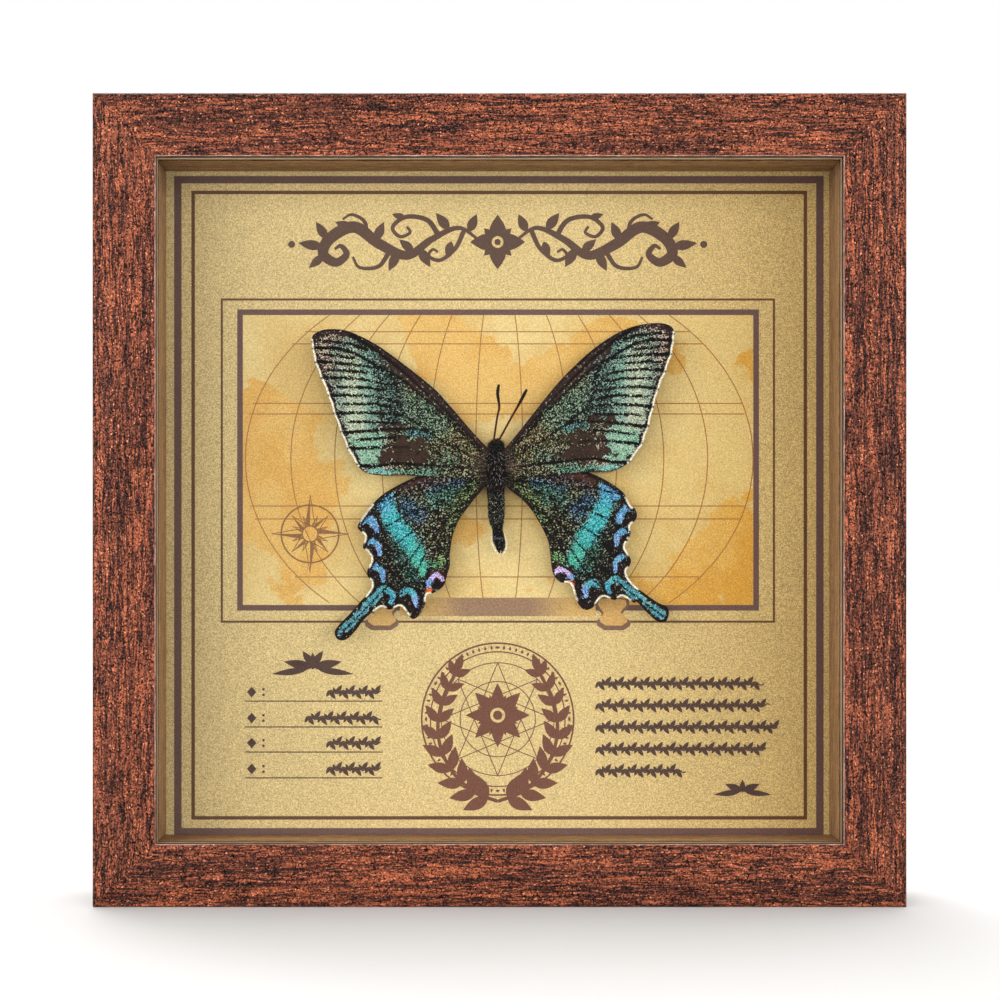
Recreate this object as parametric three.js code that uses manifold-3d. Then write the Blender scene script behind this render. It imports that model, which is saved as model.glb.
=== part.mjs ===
// Framed butterfly specimen: a square shadow-box frame of mitred moulding with a glass front, spacer strips,
// a printed backing card and a back board held by flexible tabs. A spread swallowtail butterfly is carried
// clear of the card on a small foam block. Millimetres, +Z up, front of the frame towards -Y, origin at the
// middle of the bottom face.
import * as THREE from 'three';
import { mergeVertices } from 'three/addons/utils/BufferGeometryUtils.js';
import Module from 'manifold-3d';

const wasm = await Module();
wasm.setup();

// Frame
const SIDE = 200; // outer width and height
const DEPTH = 30; // front to back
const FACE = 15.5; // width of the moulding seen from the front
const WALL = 9; // thickness of the moulding behind the lip
const LIP = 5.5; // depth of the lip in front of the rebate
const ARRIS = 0.7; // bevel on the long front edges
const MITRE_GAP = 0.1; // left at each mitre face

// Layers in the rebate, front to back
const GLASS = 2;
const SPACER = 12.5;
const CARD = 1.5;
const BOARD = 3;
const SHEET_SIDE = 181.4; // glass, card and board, with clearance in the 182 mm rebate
const SPACER_OPENING = 169.2; // clear width between opposite spacer strips
const STRIP_GAP = 0.1; // between the ends of the spacer strips

// Flexible tabs that hold the back board
const TAB = { width: 6, tip: 3, length: 13, thickness: 0.6, inRail: 4.5, spacing: 96 };
const CLEARANCE = 0.3; // between a tab or nail and its slot, and between tab and board

// Sawtooth hanger on the back board
const HANGER = { width: 44, height: 8, sheet: 0.8, standOff: 1.5, foot: 7, teeth: 9, tooth: 1.4, below: 14 };
const NAIL = { shank: 0.8, head: 2, dome: 0.9, sunk: 2.2 };

// Specimen
const BODY_X = -0.6; // middle of the thorax, measured from the middle of the frame
const BODY_Z = 108.5; // height of the thorax's middle above the bottom face
const FOREWING_Y = -2.5; // mid-thickness of the forewings at the thorax
const HINDWING_Y = -1.3; // mid-thickness of the hindwings at the thorax
const THORAX_Y = -0.9; // axis of the body
const WING = 0.3; // thickness
const WING_ROOT = 1.5; // how far the outlines run into the thorax before they are cut off
const ROOT_GAP = 0.25; // between wing roots and thorax
const PAD = { width: 3.6, height: 6 }; // foam block between thorax and card

// Places of the layer faces, along Y
const FRONT_Y = -DEPTH / 2;
const GLASS_Y = FRONT_Y + LIP;
const SPACER_Y = GLASS_Y + GLASS;
const CARD_Y = SPACER_Y + SPACER;
const BOARD_Y = CARD_Y + CARD;
const BOARD_BACK_Y = BOARD_Y + BOARD;
const CENTRE_Z = SIDE / 2;

const part = new THREE.Group();
part.name = 'framed_butterfly_specimen';

// ---------------------------------------------------------------- shared shapes

function paint(color, roughness, metalness = 0) {
  return new THREE.MeshStandardMaterial({ color, roughness, metalness });
}

const material = {
  moulding: paint(0x7a4638, 0.45),
  spacer: paint(0x8b6a49, 0.6),
  glass: paint(0xeaf2ee, 0.05),
  card: paint(0xcdb068, 0.5),
  board: paint(0x9a7a55, 0.85),
  steel: paint(0xb9bcc0, 0.35, 1),
  foam: paint(0xf1efe8, 0.95),
  body: paint(0x1c1815, 0.8),
  antenna: paint(0x15110f, 0.6),
  forewing: paint(0x2a322a, 0.7),
  hindwing: paint(0x1f2b2f, 0.65),
};

material.glass.transparent = true;
material.glass.opacity = 0.3;

function weld(geometry) {
  const bare = geometry.clone();
  bare.deleteAttribute('normal');
  bare.deleteAttribute('uv');
  return mergeVertices(bare);
}

function toSolid(geometry) {
  const welded = weld(geometry);
  const vertProperties = new Float32Array(welded.attributes.position.array);
  const triVerts = new Uint32Array(welded.index.array);
  return new wasm.Manifold(new wasm.Mesh({ numProp: 3, vertProperties, triVerts }));
}

function toGeometry(solid) {
  const { vertProperties, triVerts } = solid.getMesh();
  const geometry = new THREE.BufferGeometry();
  geometry.setAttribute('position', new THREE.BufferAttribute(vertProperties, 3));
  geometry.setIndex(new THREE.BufferAttribute(triVerts, 1));
  return geometry;
}

function addPiece(parent, name, geometry, look, position = [0, 0, 0]) {
  const mesh = new THREE.Mesh(geometry, look);
  mesh.name = name;
  mesh.position.set(...position);
  parent.add(mesh);
  return mesh;
}

// A flat outline in X and Z, made thick along Y from y = 0 backwards.
function plate(points, thickness) {
  const shape = new THREE.Shape(points.map(([x, z]) => new THREE.Vector2(x, z)));
  const geometry = new THREE.ExtrudeGeometry(shape, { depth: thickness, bevelEnabled: false });
  return geometry.rotateX(Math.PI / 2).translate(0, thickness, 0);
}

// A round tube through the points, whose radius runs smoothly through the given radii.
function tube(points, radii, sides = 7, steps = 14) {
  const path = new THREE.CatmullRomCurve3(points.map((p) => new THREE.Vector3(...p)));
  const frames = path.computeFrenetFrames(steps);
  const swell = new THREE.SplineCurve(radii.map((r, i) => new THREE.Vector2(i, r)));
  const position = [];
  const index = [];
  for (let i = 0; i <= steps; i++) {
    const centre = path.getPointAt(i / steps);
    const radius = swell.getPoint(i / steps).y;
    for (let j = 0; j < sides; j++) {
      const turn = (2 * Math.PI * j) / sides;
      const spoke = frames.normals[i].clone().multiplyScalar(Math.cos(turn) * radius);
      spoke.addScaledVector(frames.binormals[i], Math.sin(turn) * radius);
      position.push(...spoke.add(centre));
    }
  }
  for (let i = 0; i < steps; i++) {
    for (let j = 0; j < sides; j++) {
      const a = i * sides + j;
      const b = i * sides + ((j + 1) % sides);
      index.push(a, b, a + sides, b, b + sides, a + sides);
    }
  }
  const last = steps * sides;
  for (let j = 1; j < sides - 1; j++) index.push(0, j + 1, j, last, last + j, last + j + 1);
  const geometry = new THREE.BufferGeometry();
  geometry.setAttribute('position', new THREE.Float32BufferAttribute(position, 3));
  geometry.setIndex(index);
  return geometry;
}

// A body of elliptical sections along Z: profile holds [height, half width], depth is the ratio of half depth
// to half width, and lean gives the sideways place of the middle at each height.
function turned(profile, depth, sides = 22, lean = () => 0) {
  const points = profile.map(([z, r]) => new THREE.Vector2(r, z));
  const geometry = weld(new THREE.LatheGeometry(points, sides)).rotateX(Math.PI / 2);
  const position = geometry.attributes.position;
  for (let i = 0; i < position.count; i++) {
    position.setX(i, position.getX(i) + lean(position.getZ(i)));
    position.setY(i, position.getY(i) * depth);
  }
  return geometry;
}

// ---------------------------------------------------------------- moulding

// The section runs inwards from the outer face and backwards from the front: a lip, and a wall behind it.
function railGeometry() {
  const section = new THREE.Shape();
  section.moveTo(ARRIS, 0);
  section.lineTo(FACE - ARRIS, 0);
  section.lineTo(FACE, ARRIS);
  section.lineTo(FACE, LIP);
  section.lineTo(WALL, LIP);
  section.lineTo(WALL, DEPTH);
  section.lineTo(0, DEPTH);
  section.lineTo(0, ARRIS);
  const rail = new THREE.ExtrudeGeometry(section, { depth: SIDE, bevelEnabled: false });
  const position = rail.attributes.position;
  for (let i = 0; i < position.count; i++) {
    const end = position.getZ(i) > SIDE / 2 ? 1 : -1;
    position.setZ(i, end * (SIDE / 2 - position.getX(i) - MITRE_GAP));
  }
  rail.rotateY(-Math.PI / 2).translate(0, FRONT_Y, -CENTRE_Z);
  return slotted(rail);
}

// Two narrow slots in the wall's inner face take the ends of the tabs.
function slotted(rail) {
  let solid = toSolid(rail);
  const deep = TAB.inRail + CLEARANCE;
  for (const side of [-1, 1]) {
    const slot = new THREE.BoxGeometry(TAB.width + 2 * CLEARANCE, TAB.thickness + 2 * CLEARANCE, deep + 1);
    const middleZ = -CENTRE_Z + WALL - deep + (deep + 1) / 2;
    slot.translate((side * TAB.spacing) / 2, BOARD_BACK_Y + CLEARANCE + TAB.thickness / 2, middleZ);
    solid = solid.subtract(toSolid(slot));
  }
  return toGeometry(solid);
}

// A tab is a thin plate with a tapered, rounded free end.
function tabGeometry() {
  const half = TAB.width / 2;
  const tip = TAB.tip / 2;
  const shape = new THREE.Shape();
  shape.moveTo(-half, 0);
  shape.lineTo(half, 0);
  shape.lineTo(half, TAB.length * 0.6);
  shape.lineTo(tip, TAB.length - tip);
  shape.absarc(0, TAB.length - tip, tip, 0, Math.PI, false);
  shape.lineTo(-half, TAB.length * 0.6);
  const points = shape.getPoints(8).map((p) => [p.x, p.y]);
  return plate(points.slice(0, -1), TAB.thickness);
}

const moulding = new THREE.Group();
moulding.position.z = CENTRE_Z;
part.add(moulding);

['bottom', 'right', 'top', 'left'].forEach((side, i) => {
  const edge = new THREE.Group();
  edge.rotation.y = (-i * Math.PI) / 2;
  moulding.add(edge);
  addPiece(edge, `rail_${side}`, railGeometry(), material.moulding.clone());
  for (const [end, label] of [[-1, 'a'], [1, 'b']]) {
    const place = [(end * TAB.spacing) / 2, BOARD_BACK_Y + CLEARANCE, -CENTRE_Z + WALL - TAB.inRail];
    addPiece(edge, `tab_${side}_${label}`, tabGeometry(), material.steel.clone(), place);
  }
});

// ---------------------------------------------------------------- layers in the rebate

function sheet(name, y, thickness, look) {
  const geometry = new THREE.BoxGeometry(SHEET_SIDE, thickness, SHEET_SIDE);
  return addPiece(part, name, geometry, look, [0, y + thickness / 2, CENTRE_Z]);
}

sheet('glass_pane', GLASS_Y, GLASS, material.glass);
sheet('backing_card', CARD_Y, CARD, material.card);

const STRIP = (SHEET_SIDE - SPACER_OPENING) / 2;
const stripMiddle = (SPACER_OPENING + STRIP) / 2;
for (const [side, sign] of [['top', 1], ['bottom', -1]]) {
  const strip = new THREE.BoxGeometry(SHEET_SIDE, SPACER, STRIP);
  const place = [0, SPACER_Y + SPACER / 2, CENTRE_Z + sign * stripMiddle];
  addPiece(part, `spacer_${side}`, strip, material.spacer.clone(), place);
}
for (const [side, sign] of [['left', -1], ['right', 1]]) {
  const strip = new THREE.BoxGeometry(STRIP, SPACER, SPACER_OPENING - 2 * STRIP_GAP);
  const place = [sign * stripMiddle, SPACER_Y + SPACER / 2, CENTRE_Z];
  addPiece(part, `spacer_${side}`, strip, material.spacer.clone(), place);
}

// The back board has blind holes for the two nails of the hanger.
const nailX = HANGER.width / 2 - HANGER.foot / 2;
const hangerZ = CENTRE_Z + SHEET_SIDE / 2 - HANGER.below;

function nailHole(x, z, y, length) {
  const hole = new THREE.CylinderGeometry(NAIL.shank + CLEARANCE, NAIL.shank + CLEARANCE, length, 16);
  return toSolid(hole.translate(x, y + length / 2, z));
}

function boardGeometry() {
  const flat = new THREE.BoxGeometry(SHEET_SIDE, BOARD, SHEET_SIDE);
  let solid = toSolid(flat.translate(0, BOARD_Y + BOARD / 2, CENTRE_Z));
  for (const sign of [-1, 1]) {
    const depth = NAIL.sunk + CLEARANCE;
    solid = solid.subtract(nailHole(sign * nailX, hangerZ, BOARD_BACK_Y - depth, depth + 1));
  }
  return toGeometry(solid);
}

addPiece(part, 'back_board', boardGeometry(), material.board);

// ---------------------------------------------------------------- sawtooth hanger

// A bridge of sheet steel: two feet flat on the board and a raised middle with teeth along its lower edge.
function hangerGeometry() {
  const half = HANGER.width / 2;
  const raised = half - HANGER.foot;
  const lift = HANGER.standOff;
  const bridge = [
    [-half, 0], [-raised, 0], [-raised + lift, lift], [raised - lift, lift], [raised, 0], [half, 0],
  ];
  const upper = bridge.map(([x, y]) => [x, y + HANGER.sheet]).reverse();
  const shape = new THREE.Shape([...bridge, ...upper].map(([x, y]) => new THREE.Vector2(x, y)));
  const strip = new THREE.ExtrudeGeometry(shape, { depth: HANGER.height, bevelEnabled: false });
  strip.translate(0, BOARD_BACK_Y + 0.02, hangerZ - HANGER.height / 2);
  let solid = toSolid(strip);
  const span = 2 * (raised - lift - 1);
  const pitch = span / HANGER.teeth;
  for (let i = 0; i < HANGER.teeth; i++) {
    const left = -span / 2 + i * pitch;
    const notch = plate([[left, -1], [left + pitch - 0.2, -1], [left + pitch / 2, HANGER.tooth]], 2 * lift);
    notch.translate(0, BOARD_BACK_Y + lift / 2, hangerZ - HANGER.height / 2);
    solid = solid.subtract(toSolid(notch));
  }
  for (const sign of [-1, 1]) {
    solid = solid.subtract(nailHole(sign * nailX, hangerZ, BOARD_BACK_Y - 1, 4));
  }
  return toGeometry(solid);
}

// A nail with a domed head, turned about its own length.
function nailGeometry() {
  const profile = [new THREE.Vector2(0, -NAIL.sunk), new THREE.Vector2(NAIL.shank, -NAIL.sunk)];
  const seat = HANGER.sheet + 0.05;
  profile.push(new THREE.Vector2(NAIL.shank, seat), new THREE.Vector2(NAIL.head, seat));
  for (const angle of [20, 45, 70]) {
    const turn = THREE.MathUtils.degToRad(angle);
    profile.push(new THREE.Vector2(NAIL.head * Math.cos(turn), seat + NAIL.dome * Math.sin(turn)));
  }
  profile.push(new THREE.Vector2(0, seat + NAIL.dome));
  return weld(new THREE.LatheGeometry(profile, 16));
}

addPiece(part, 'sawtooth_hanger', hangerGeometry(), material.steel.clone());
for (const [side, sign] of [['left', -1], ['right', 1]]) {
  const place = [sign * nailX, BOARD_BACK_Y, hangerZ];
  addPiece(part, `hanger_nail_${side}`, nailGeometry(), material.steel.clone(), place);
}

// ---------------------------------------------------------------- specimen: body

const specimen = new THREE.Group();
specimen.position.set(BODY_X, 0, BODY_Z);
part.add(specimen);

const THORAX = [
  [-5.1, 0], [-5.0, 0.9], [-4.2, 1.75], [-2.6, 2.35], [-0.6, 2.6], [1.4, 2.5], [3.1, 2.0], [4.3, 1.2],
  [4.7, 0.6], [4.8, 0],
];
const THORAX_DEPTH = 1.05; // depth over width

const thoraxShape = (grow) => turned(THORAX.map(([z, r]) => [z, r > 0 ? r + grow : 0]), THORAX_DEPTH);

// Each leg: thigh, shin and foot, folded under the body. Points are [x, y, z] from the thorax's middle.
const LEGS = [
  [[0.9, 0.9, 3.2], [2.1, 2.4, 5.2], [1.4, 3.8, 4.0], [1.1, 4.6, 6.2]],
  [[1.2, 1.0, 0.2], [2.3, 2.6, -0.8], [2.2, 4.0, -3.8], [1.9, 4.7, -7.4]],
  [[1.1, 1.0, -2.2], [1.9, 2.7, -4.4], [1.2, 3.9, -7.8], [0.9, 4.6, -12.4]],
];
const LEG_RADII = [0.4, 0.34, 0.22, 0.14];

function thoraxGeometry() {
  let solid = toSolid(thoraxShape(0));
  for (const leg of LEGS) {
    for (const side of [-1, 1]) {
      const points = leg.map(([x, y, z]) => [side * x, y, z]);
      solid = solid.add(toSolid(tube(points, LEG_RADII, 6, 10)));
    }
  }
  return toGeometry(solid);
}

addPiece(specimen, 'thorax', thoraxGeometry(), material.body.clone(), [0, THORAX_Y, 0]);

// The head carries bulging eyes at the sides, two blunt palps and the coiled tongue below.
const HEAD_Z = 6.45;

function headGeometry() {
  const skull = turned([[-1.35, 0], [-1.1, 0.8], [-0.4, 1.35], [0.4, 1.4], [1.1, 0.9], [1.4, 0]], 0.95, 18);
  let solid = toSolid(skull);
  for (const side of [-1, 1]) {
    const eye = new THREE.SphereGeometry(0.95, 14, 10).translate(side * 1.0, -0.1, 0.15);
    solid = solid.add(toSolid(eye));
    const palp = [[side * 0.45, 0.6, 0.6], [side * 0.5, 0.9, 1.4], [side * 0.45, 0.5, 2.1]];
    solid = solid.add(toSolid(tube(palp, [0.4, 0.42, 0.22], 6, 5)));
  }
  const coil = new THREE.TorusGeometry(0.5, 0.17, 6, 14).rotateY(Math.PI / 2).translate(0, 1.45, 0.5);
  return toGeometry(solid.add(toSolid(coil)));
}

addPiece(specimen, 'head', headGeometry(), material.body.clone(), [0.1, THORAX_Y, HEAD_Z]);

// The abdomen tapers in shallow rings to a waist, swells again and ends in two claspers, leaning to the right.
const ABDOMEN = [
  [-21.0, 0], [-20.8, 0.5], [-19.6, 1.0], [-18.6, 1.45], [-17.6, 1.55], [-16.4, 1.45], [-15.3, 1.3],
  [-14.6, 1.5], [-13.6, 1.85], [-12.4, 1.95], [-11.9, 2.1], [-10.4, 2.08], [-9.9, 2.2], [-8.2, 2.15],
  [-7.7, 2.15], [-6.4, 1.8], [-5.5, 1.2], [-5.3, 0],
];
const abdomenLean = (z) => (z < -13 ? 0.13 * (-13 - z) + 0.1 : 0.1);

function abdomenGeometry() {
  const solid = toSolid(turned(ABDOMEN, 1.0, 20, abdomenLean));
  const tip = abdomenLean(-21.2);
  const claspers = [-1, 1].map((side) => {
    const curl = [[0.75, 0.2, -18.6], [0.8, 0.1, -20.2], [0.2, 0, -21.6]];
    const points = curl.map(([x, y, z]) => [tip + side * x, y, z]);
    return toSolid(tube(points, [0.5, 0.42, 0.16], 7, 6));
  });
  return toGeometry(claspers.reduce((sum, clasper) => sum.add(clasper), solid));
}

addPiece(specimen, 'abdomen', abdomenGeometry(), material.body.clone(), [0, THORAX_Y, 0]);

// Antennae: fine shafts that thicken to a club, from just outside the head.
const ANTENNAE = {
  left: [[-0.55, -2.35, 7.75], [0.3, -2.9, 12.8], [0.8, -3.2, 15.3], [0.4, -3.3, 18.6], [0.7, -3.2, 20.9]],
  right: [[0.95, -2.35, 7.7], [3.7, -2.9, 12.4], [5.8, -3.2, 16.1], [7.7, -3.2, 19.7]],
};
for (const [side, points] of Object.entries(ANTENNAE)) {
  const shaft = tube(points, [0.17, 0.14, 0.14, 0.16, 0.36, 0.24], 7, 20);
  addPiece(specimen, `antenna_${side}`, shaft, material.antenna.clone());
}

// The foam block sits between the thorax and the card.
const padFront = THORAX_Y + THORAX[4][1] * THORAX_DEPTH + CLEARANCE;
const padGeometry = new THREE.BoxGeometry(PAD.width, CARD_Y - padFront, PAD.height);
addPiece(specimen, 'foam_block', padGeometry, material.foam, [0, (CARD_Y + padFront) / 2, 0]);

// ---------------------------------------------------------------- specimen: wings

// A curve through all the points, drawn with the given number of steps.
function smooth(points, steps) {
  return new THREE.SplineCurve(points.map((p) => new THREE.Vector2(...p))).getPoints(steps);
}

// A row of shallow bays between the ends of the veins.
function scalloped(tips, depth) {
  const bays = [];
  for (let i = 0; i < tips.length - 1; i++) {
    const a = new THREE.Vector2(...tips[i]);
    const b = new THREE.Vector2(...tips[i + 1]);
    const inward = Math.sign(-a.x);
    const middle = a.clone().add(b).multiplyScalar(0.5).add(new THREE.Vector2(inward * 2 * depth, 0));
    bays.push(...new THREE.QuadraticBezierCurve(a, middle, b).getPoints(4).slice(0, -1));
  }
  return bays;
}

const BAY = 0.35; // depth of the forewing's bays
const FOREWINGS = {
  left: {
    costa: [
      [-WING_ROOT, 4.4], [-5.6, 8.7], [-11.3, 15.3], [-16.3, 20.6], [-26.7, 28.7], [-31.7, 31.9],
      [-36.7, 34.2], [-40.0, 34.8], [-43.4, 34.6], [-45.8, 33.4], [-46.5, 31.6],
    ],
    tips: [
      [-46.5, 31.6], [-46.3, 29.9], [-45.6, 26.4], [-44.0, 22.4], [-42.2, 18.1], [-40.8, 13.6], [-39.1, 8.9],
      [-37.4, 4.8], [-35.1, 0.8],
    ],
    inner: [[-35.1, 0.8], [-32.7, -1.2], [-28.2, -1.9], [-23.1, -1.8], [-14.0, -2.4], [-WING_ROOT, -2.6]],
  },
  right: {
    costa: [
      [WING_ROOT, 4.0], [6.3, 9.8], [12.2, 17.3], [16.6, 22.5], [22.1, 27.9], [27.2, 31.9], [32.2, 34.7],
      [37.2, 36.1], [41.5, 36.3], [44.0, 35.4], [44.9, 33.5],
    ],
    tips: [
      [44.9, 33.5], [44.8, 31.9], [44.2, 28.4], [42.6, 24.1], [40.8, 19.6], [39.6, 15.2], [38.4, 10.4],
      [36.9, 6.0], [33.7, 1.4],
    ],
    inner: [[33.7, 1.4], [30.4, -0.4], [27.2, -0.9], [23.4, -1.0], [13.6, -2.0], [WING_ROOT, -2.6]],
  },
};

// Each hindwing runs from the root along its front edge, down the scalloped margin, round the tail and lobes.
const HINDWINGS = {
  left: [
    [-WING_ROOT, 1.2], [-8.0, 1.8], [-14.0, 0.6], [-19.4, -1.8], [-24.1, -4.0], [-28.2, -6.4], [-30.8, -8.8],
    [-33.2, -11.8], [-34.8, -14.6], [-34.2, -15.8], [-32.9, -17.2], [-33.5, -19.9], [-32.4, -20.9],
    [-31.3, -22.9], [-32.4, -25.9], [-32.2, -27.3], [-31.2, -28.9], [-31.8, -30.9], [-34.2, -33.7],
    [-36.8, -36.7], [-39.2, -39.1], [-40.6, -41.1], [-40.2, -42.8], [-38.9, -43.4], [-37.2, -42.8],
    [-35.2, -40.7], [-33.2, -38.1], [-30.8, -36.1], [-28.8, -34.9], [-26.8, -35.6], [-24.1, -34.7],
    [-22.4, -36.5], [-21.0, -38.0], [-19.4, -37.1], [-18.0, -34.7], [-17.4, -31.9], [-15.6, -31.4],
    [-13.3, -29.7], [-12.3, -26.9], [-11.6, -24.3], [-11.6, -21.6], [-10.9, -17.1], [-9.3, -13.1],
    [-6.8, -9.5], [-4.3, -6.4], [-WING_ROOT, -3.4],
  ],
  right: [
    [WING_ROOT, 1.2], [8.0, 2.2], [14.0, 1.6], [19.0, 0.6], [23.4, -1.0], [27.2, -2.8], [30.4, -4.8],
    [32.2, -6.4], [33.9, -9.5], [34.9, -10.1], [35.5, -11.8], [35.0, -13.2], [33.7, -14.5], [33.9, -16.5],
    [33.2, -18.1], [32.4, -19.9], [33.9, -22.9], [33.7, -24.4], [32.7, -26.2], [34.2, -28.9], [37.2, -31.4],
    [40.5, -33.7], [43.0, -35.0], [43.5, -36.7], [42.6, -38.7], [40.5, -38.5], [38.2, -36.5], [35.5, -33.7],
    [34.7, -33.9], [31.8, -32.2], [29.8, -33.2], [26.8, -32.4], [24.4, -35.1], [22.6, -35.7], [21.1, -34.7],
    [20.1, -32.7], [19.1, -29.7], [18.1, -28.8], [16.3, -28.7], [14.6, -26.9], [14.0, -24.6], [13.6, -20.9],
    [13.0, -17.9], [11.0, -13.8], [8.6, -10.1], [6.5, -7.8], [3.5, -5.4], [WING_ROOT, -3.4],
  ],
};

// Depth of a wing's mid-surface. From root to tip it rises towards the glass with a sag on the way; the
// forewing also ripples from front to hind edge, and the hindwing's tail end droops towards the card.
const FORE_CAMBER = { span: 45, rise: 1.3, sag: 0.5, ripple: 0.25, wave: 7 };
const HIND_CAMBER = { span: 36, rise: 0.9, sag: 0.35, droop: 1.1, droopFrom: 24, droopOver: 20 };

function risen(x, { span, rise, sag }) {
  const out = Math.abs(x) / span;
  return -rise * out + sag * Math.sin(Math.PI * out);
}

function foreCamber(x, z) {
  const { ripple, wave } = FORE_CAMBER;
  return FOREWING_Y + risen(x, FORE_CAMBER) - ripple * Math.sin(z / wave);
}

function hindCamber(x, z) {
  const { droop, droopFrom, droopOver } = HIND_CAMBER;
  return HINDWING_Y + risen(x, HIND_CAMBER) + droop * (Math.max(0, -z - droopFrom) / droopOver) ** 2;
}

// A cambered sheet, cut to the outline and clear of the thorax.
const CELL = 4.5; // size of the sheet's facets
const CUT_DEPTH = 20; // of the prism that cuts the outline

function wingGeometry(outline, camber) {
  const box = new THREE.Box2().setFromPoints(outline);
  const size = box.getSize(new THREE.Vector2());
  const middle = box.getCenter(new THREE.Vector2());
  const across = Math.round(size.x / CELL);
  const up = Math.round(size.y / CELL);
  const flat = new THREE.BoxGeometry(size.x + 2, WING, size.y + 2, across, 1, up);
  const surface = weld(flat.translate(middle.x, 0, middle.y));
  const position = surface.attributes.position;
  for (let i = 0; i < position.count; i++) {
    position.setY(i, position.getY(i) + camber(position.getX(i), position.getZ(i)));
  }
  const prism = plate(outline.map((p) => [p.x, p.y]), CUT_DEPTH).translate(0, -CUT_DEPTH / 2, 0);
  const body = thoraxShape(ROOT_GAP).translate(0, THORAX_Y, 0);
  return toGeometry(toSolid(surface).intersect(toSolid(prism)).subtract(toSolid(body)));
}

for (const [side, { costa, tips, inner }] of Object.entries(FOREWINGS)) {
  const outline = [...smooth(costa, 26).slice(0, -1), ...scalloped(tips, BAY), ...smooth(inner, 14)];
  addPiece(specimen, `forewing_${side}`, wingGeometry(outline, foreCamber), material.forewing.clone());
}
for (const [side, points] of Object.entries(HINDWINGS)) {
  const outline = smooth(points, 2 * (points.length - 1));
  addPiece(specimen, `hindwing_${side}`, wingGeometry(outline, hindCamber), material.hindwing.clone());
}

export default part;
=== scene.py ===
import math

import bmesh
import bpy
import numpy as np
from mathutils import Matrix, Vector
from mathutils.geometry import delaunay_2d_cdt


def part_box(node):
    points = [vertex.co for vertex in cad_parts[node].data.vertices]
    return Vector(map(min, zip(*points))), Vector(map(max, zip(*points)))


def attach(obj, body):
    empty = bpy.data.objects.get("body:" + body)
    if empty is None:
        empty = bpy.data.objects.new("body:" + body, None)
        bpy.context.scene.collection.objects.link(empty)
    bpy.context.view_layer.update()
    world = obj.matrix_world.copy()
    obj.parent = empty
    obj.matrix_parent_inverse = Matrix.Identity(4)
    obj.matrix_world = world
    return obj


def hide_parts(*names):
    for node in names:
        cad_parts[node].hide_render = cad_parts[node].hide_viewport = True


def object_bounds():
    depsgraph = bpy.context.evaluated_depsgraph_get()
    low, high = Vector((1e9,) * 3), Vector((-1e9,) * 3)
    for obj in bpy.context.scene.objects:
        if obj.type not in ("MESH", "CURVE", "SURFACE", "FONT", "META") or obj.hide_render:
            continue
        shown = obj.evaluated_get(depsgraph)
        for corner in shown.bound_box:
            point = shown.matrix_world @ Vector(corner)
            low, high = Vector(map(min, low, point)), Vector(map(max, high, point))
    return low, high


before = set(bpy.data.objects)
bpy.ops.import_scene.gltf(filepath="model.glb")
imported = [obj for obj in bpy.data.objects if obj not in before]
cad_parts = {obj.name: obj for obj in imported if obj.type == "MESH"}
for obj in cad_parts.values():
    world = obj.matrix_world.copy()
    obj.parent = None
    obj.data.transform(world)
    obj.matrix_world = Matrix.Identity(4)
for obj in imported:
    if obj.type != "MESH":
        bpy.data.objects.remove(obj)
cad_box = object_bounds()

MM = 0.001

# ---------------------------------------------------------------------------- moulding
# Four lengths of L-section moulding: a softwood core wrapped in a printed walnut-red wood foil with a satin
# lacquer. The ends are cut at 45 degrees and glued, so that the grain turns at each corner. The lip in front
# holds the glass, and the wall behind it has two narrow slots for the tabs of the back board.
frame_low, frame_high = cad_box
half_side = (frame_high[0] - frame_low[0]) / 2
centre_z = (frame_high[2] + frame_low[2]) / 2
front_y, back_y = frame_low[1], frame_high[1]
pane_low, pane_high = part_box("glass_pane")
rebate_clearance = 0.3 * MM
rail_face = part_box("rail_bottom")[1][2] - frame_low[2]
rail_wall = half_side - pane_high[0] - rebate_clearance
rail_lip = pane_low[1] - front_y
arris = 0.75 * MM
# Widths of the two dark painted shadow lines on the lip, behind the arris and in front of the glass.
front_shadow_width = 1.6 * MM
back_shadow_width = 1.1 * MM
mitre_gap = 0.02 * MM
slot_margin = 0.25 * MM
merge_distance = 1e-7
smooth_below = math.radians(35)


def only(*objects):
    """Selects just these objects and makes the first of them active."""
    bpy.ops.object.select_all(action="DESELECT")
    for item in objects:
        item.select_set(True)
    bpy.context.view_layer.objects.active = objects[0]


def block(name, low, high):
    """A box between two corners, as an object at the origin with its place in its mesh."""
    bpy.ops.object.select_all(action="DESELECT")
    middle = [(a + b) / 2 for a, b in zip(low, high)]
    bpy.ops.mesh.primitive_cube_add(size=1, location=middle)
    made = bpy.context.object
    made.name = made.data.name = name
    made.scale = [b - a for a, b in zip(low, high)]
    bpy.ops.object.transform_apply(location=True, rotation=True, scale=True)
    return made


def pick(made, what, test):
    """Selects, in edit mode, the faces or edges whose middle and normal or direction pass the test."""
    grid = bmesh.from_edit_mesh(made.data)
    for face in grid.faces:
        face.select_set(False)
    for edge in grid.edges:
        edge.select_set(False)
    if what == "faces":
        for face in grid.faces:
            face.select_set(bool(test(face.calc_center_median(), face.normal)))
    else:
        for edge in grid.edges:
            a, b = (vert.co for vert in edge.verts)
            if test((a + b) / 2, (b - a).normalized()):
                edge.select_set(True)
    bmesh.update_edit_mesh(made.data)


def close(a, b, tolerance=1e-6):
    return abs(a - b) < tolerance


def settle(piece, slot, *nodes):
    """The piece rides on the frame and stands for its CAD nodes, which are hidden. The slot is not used."""
    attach(piece, "root")
    if nodes:
        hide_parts(*nodes)


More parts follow.
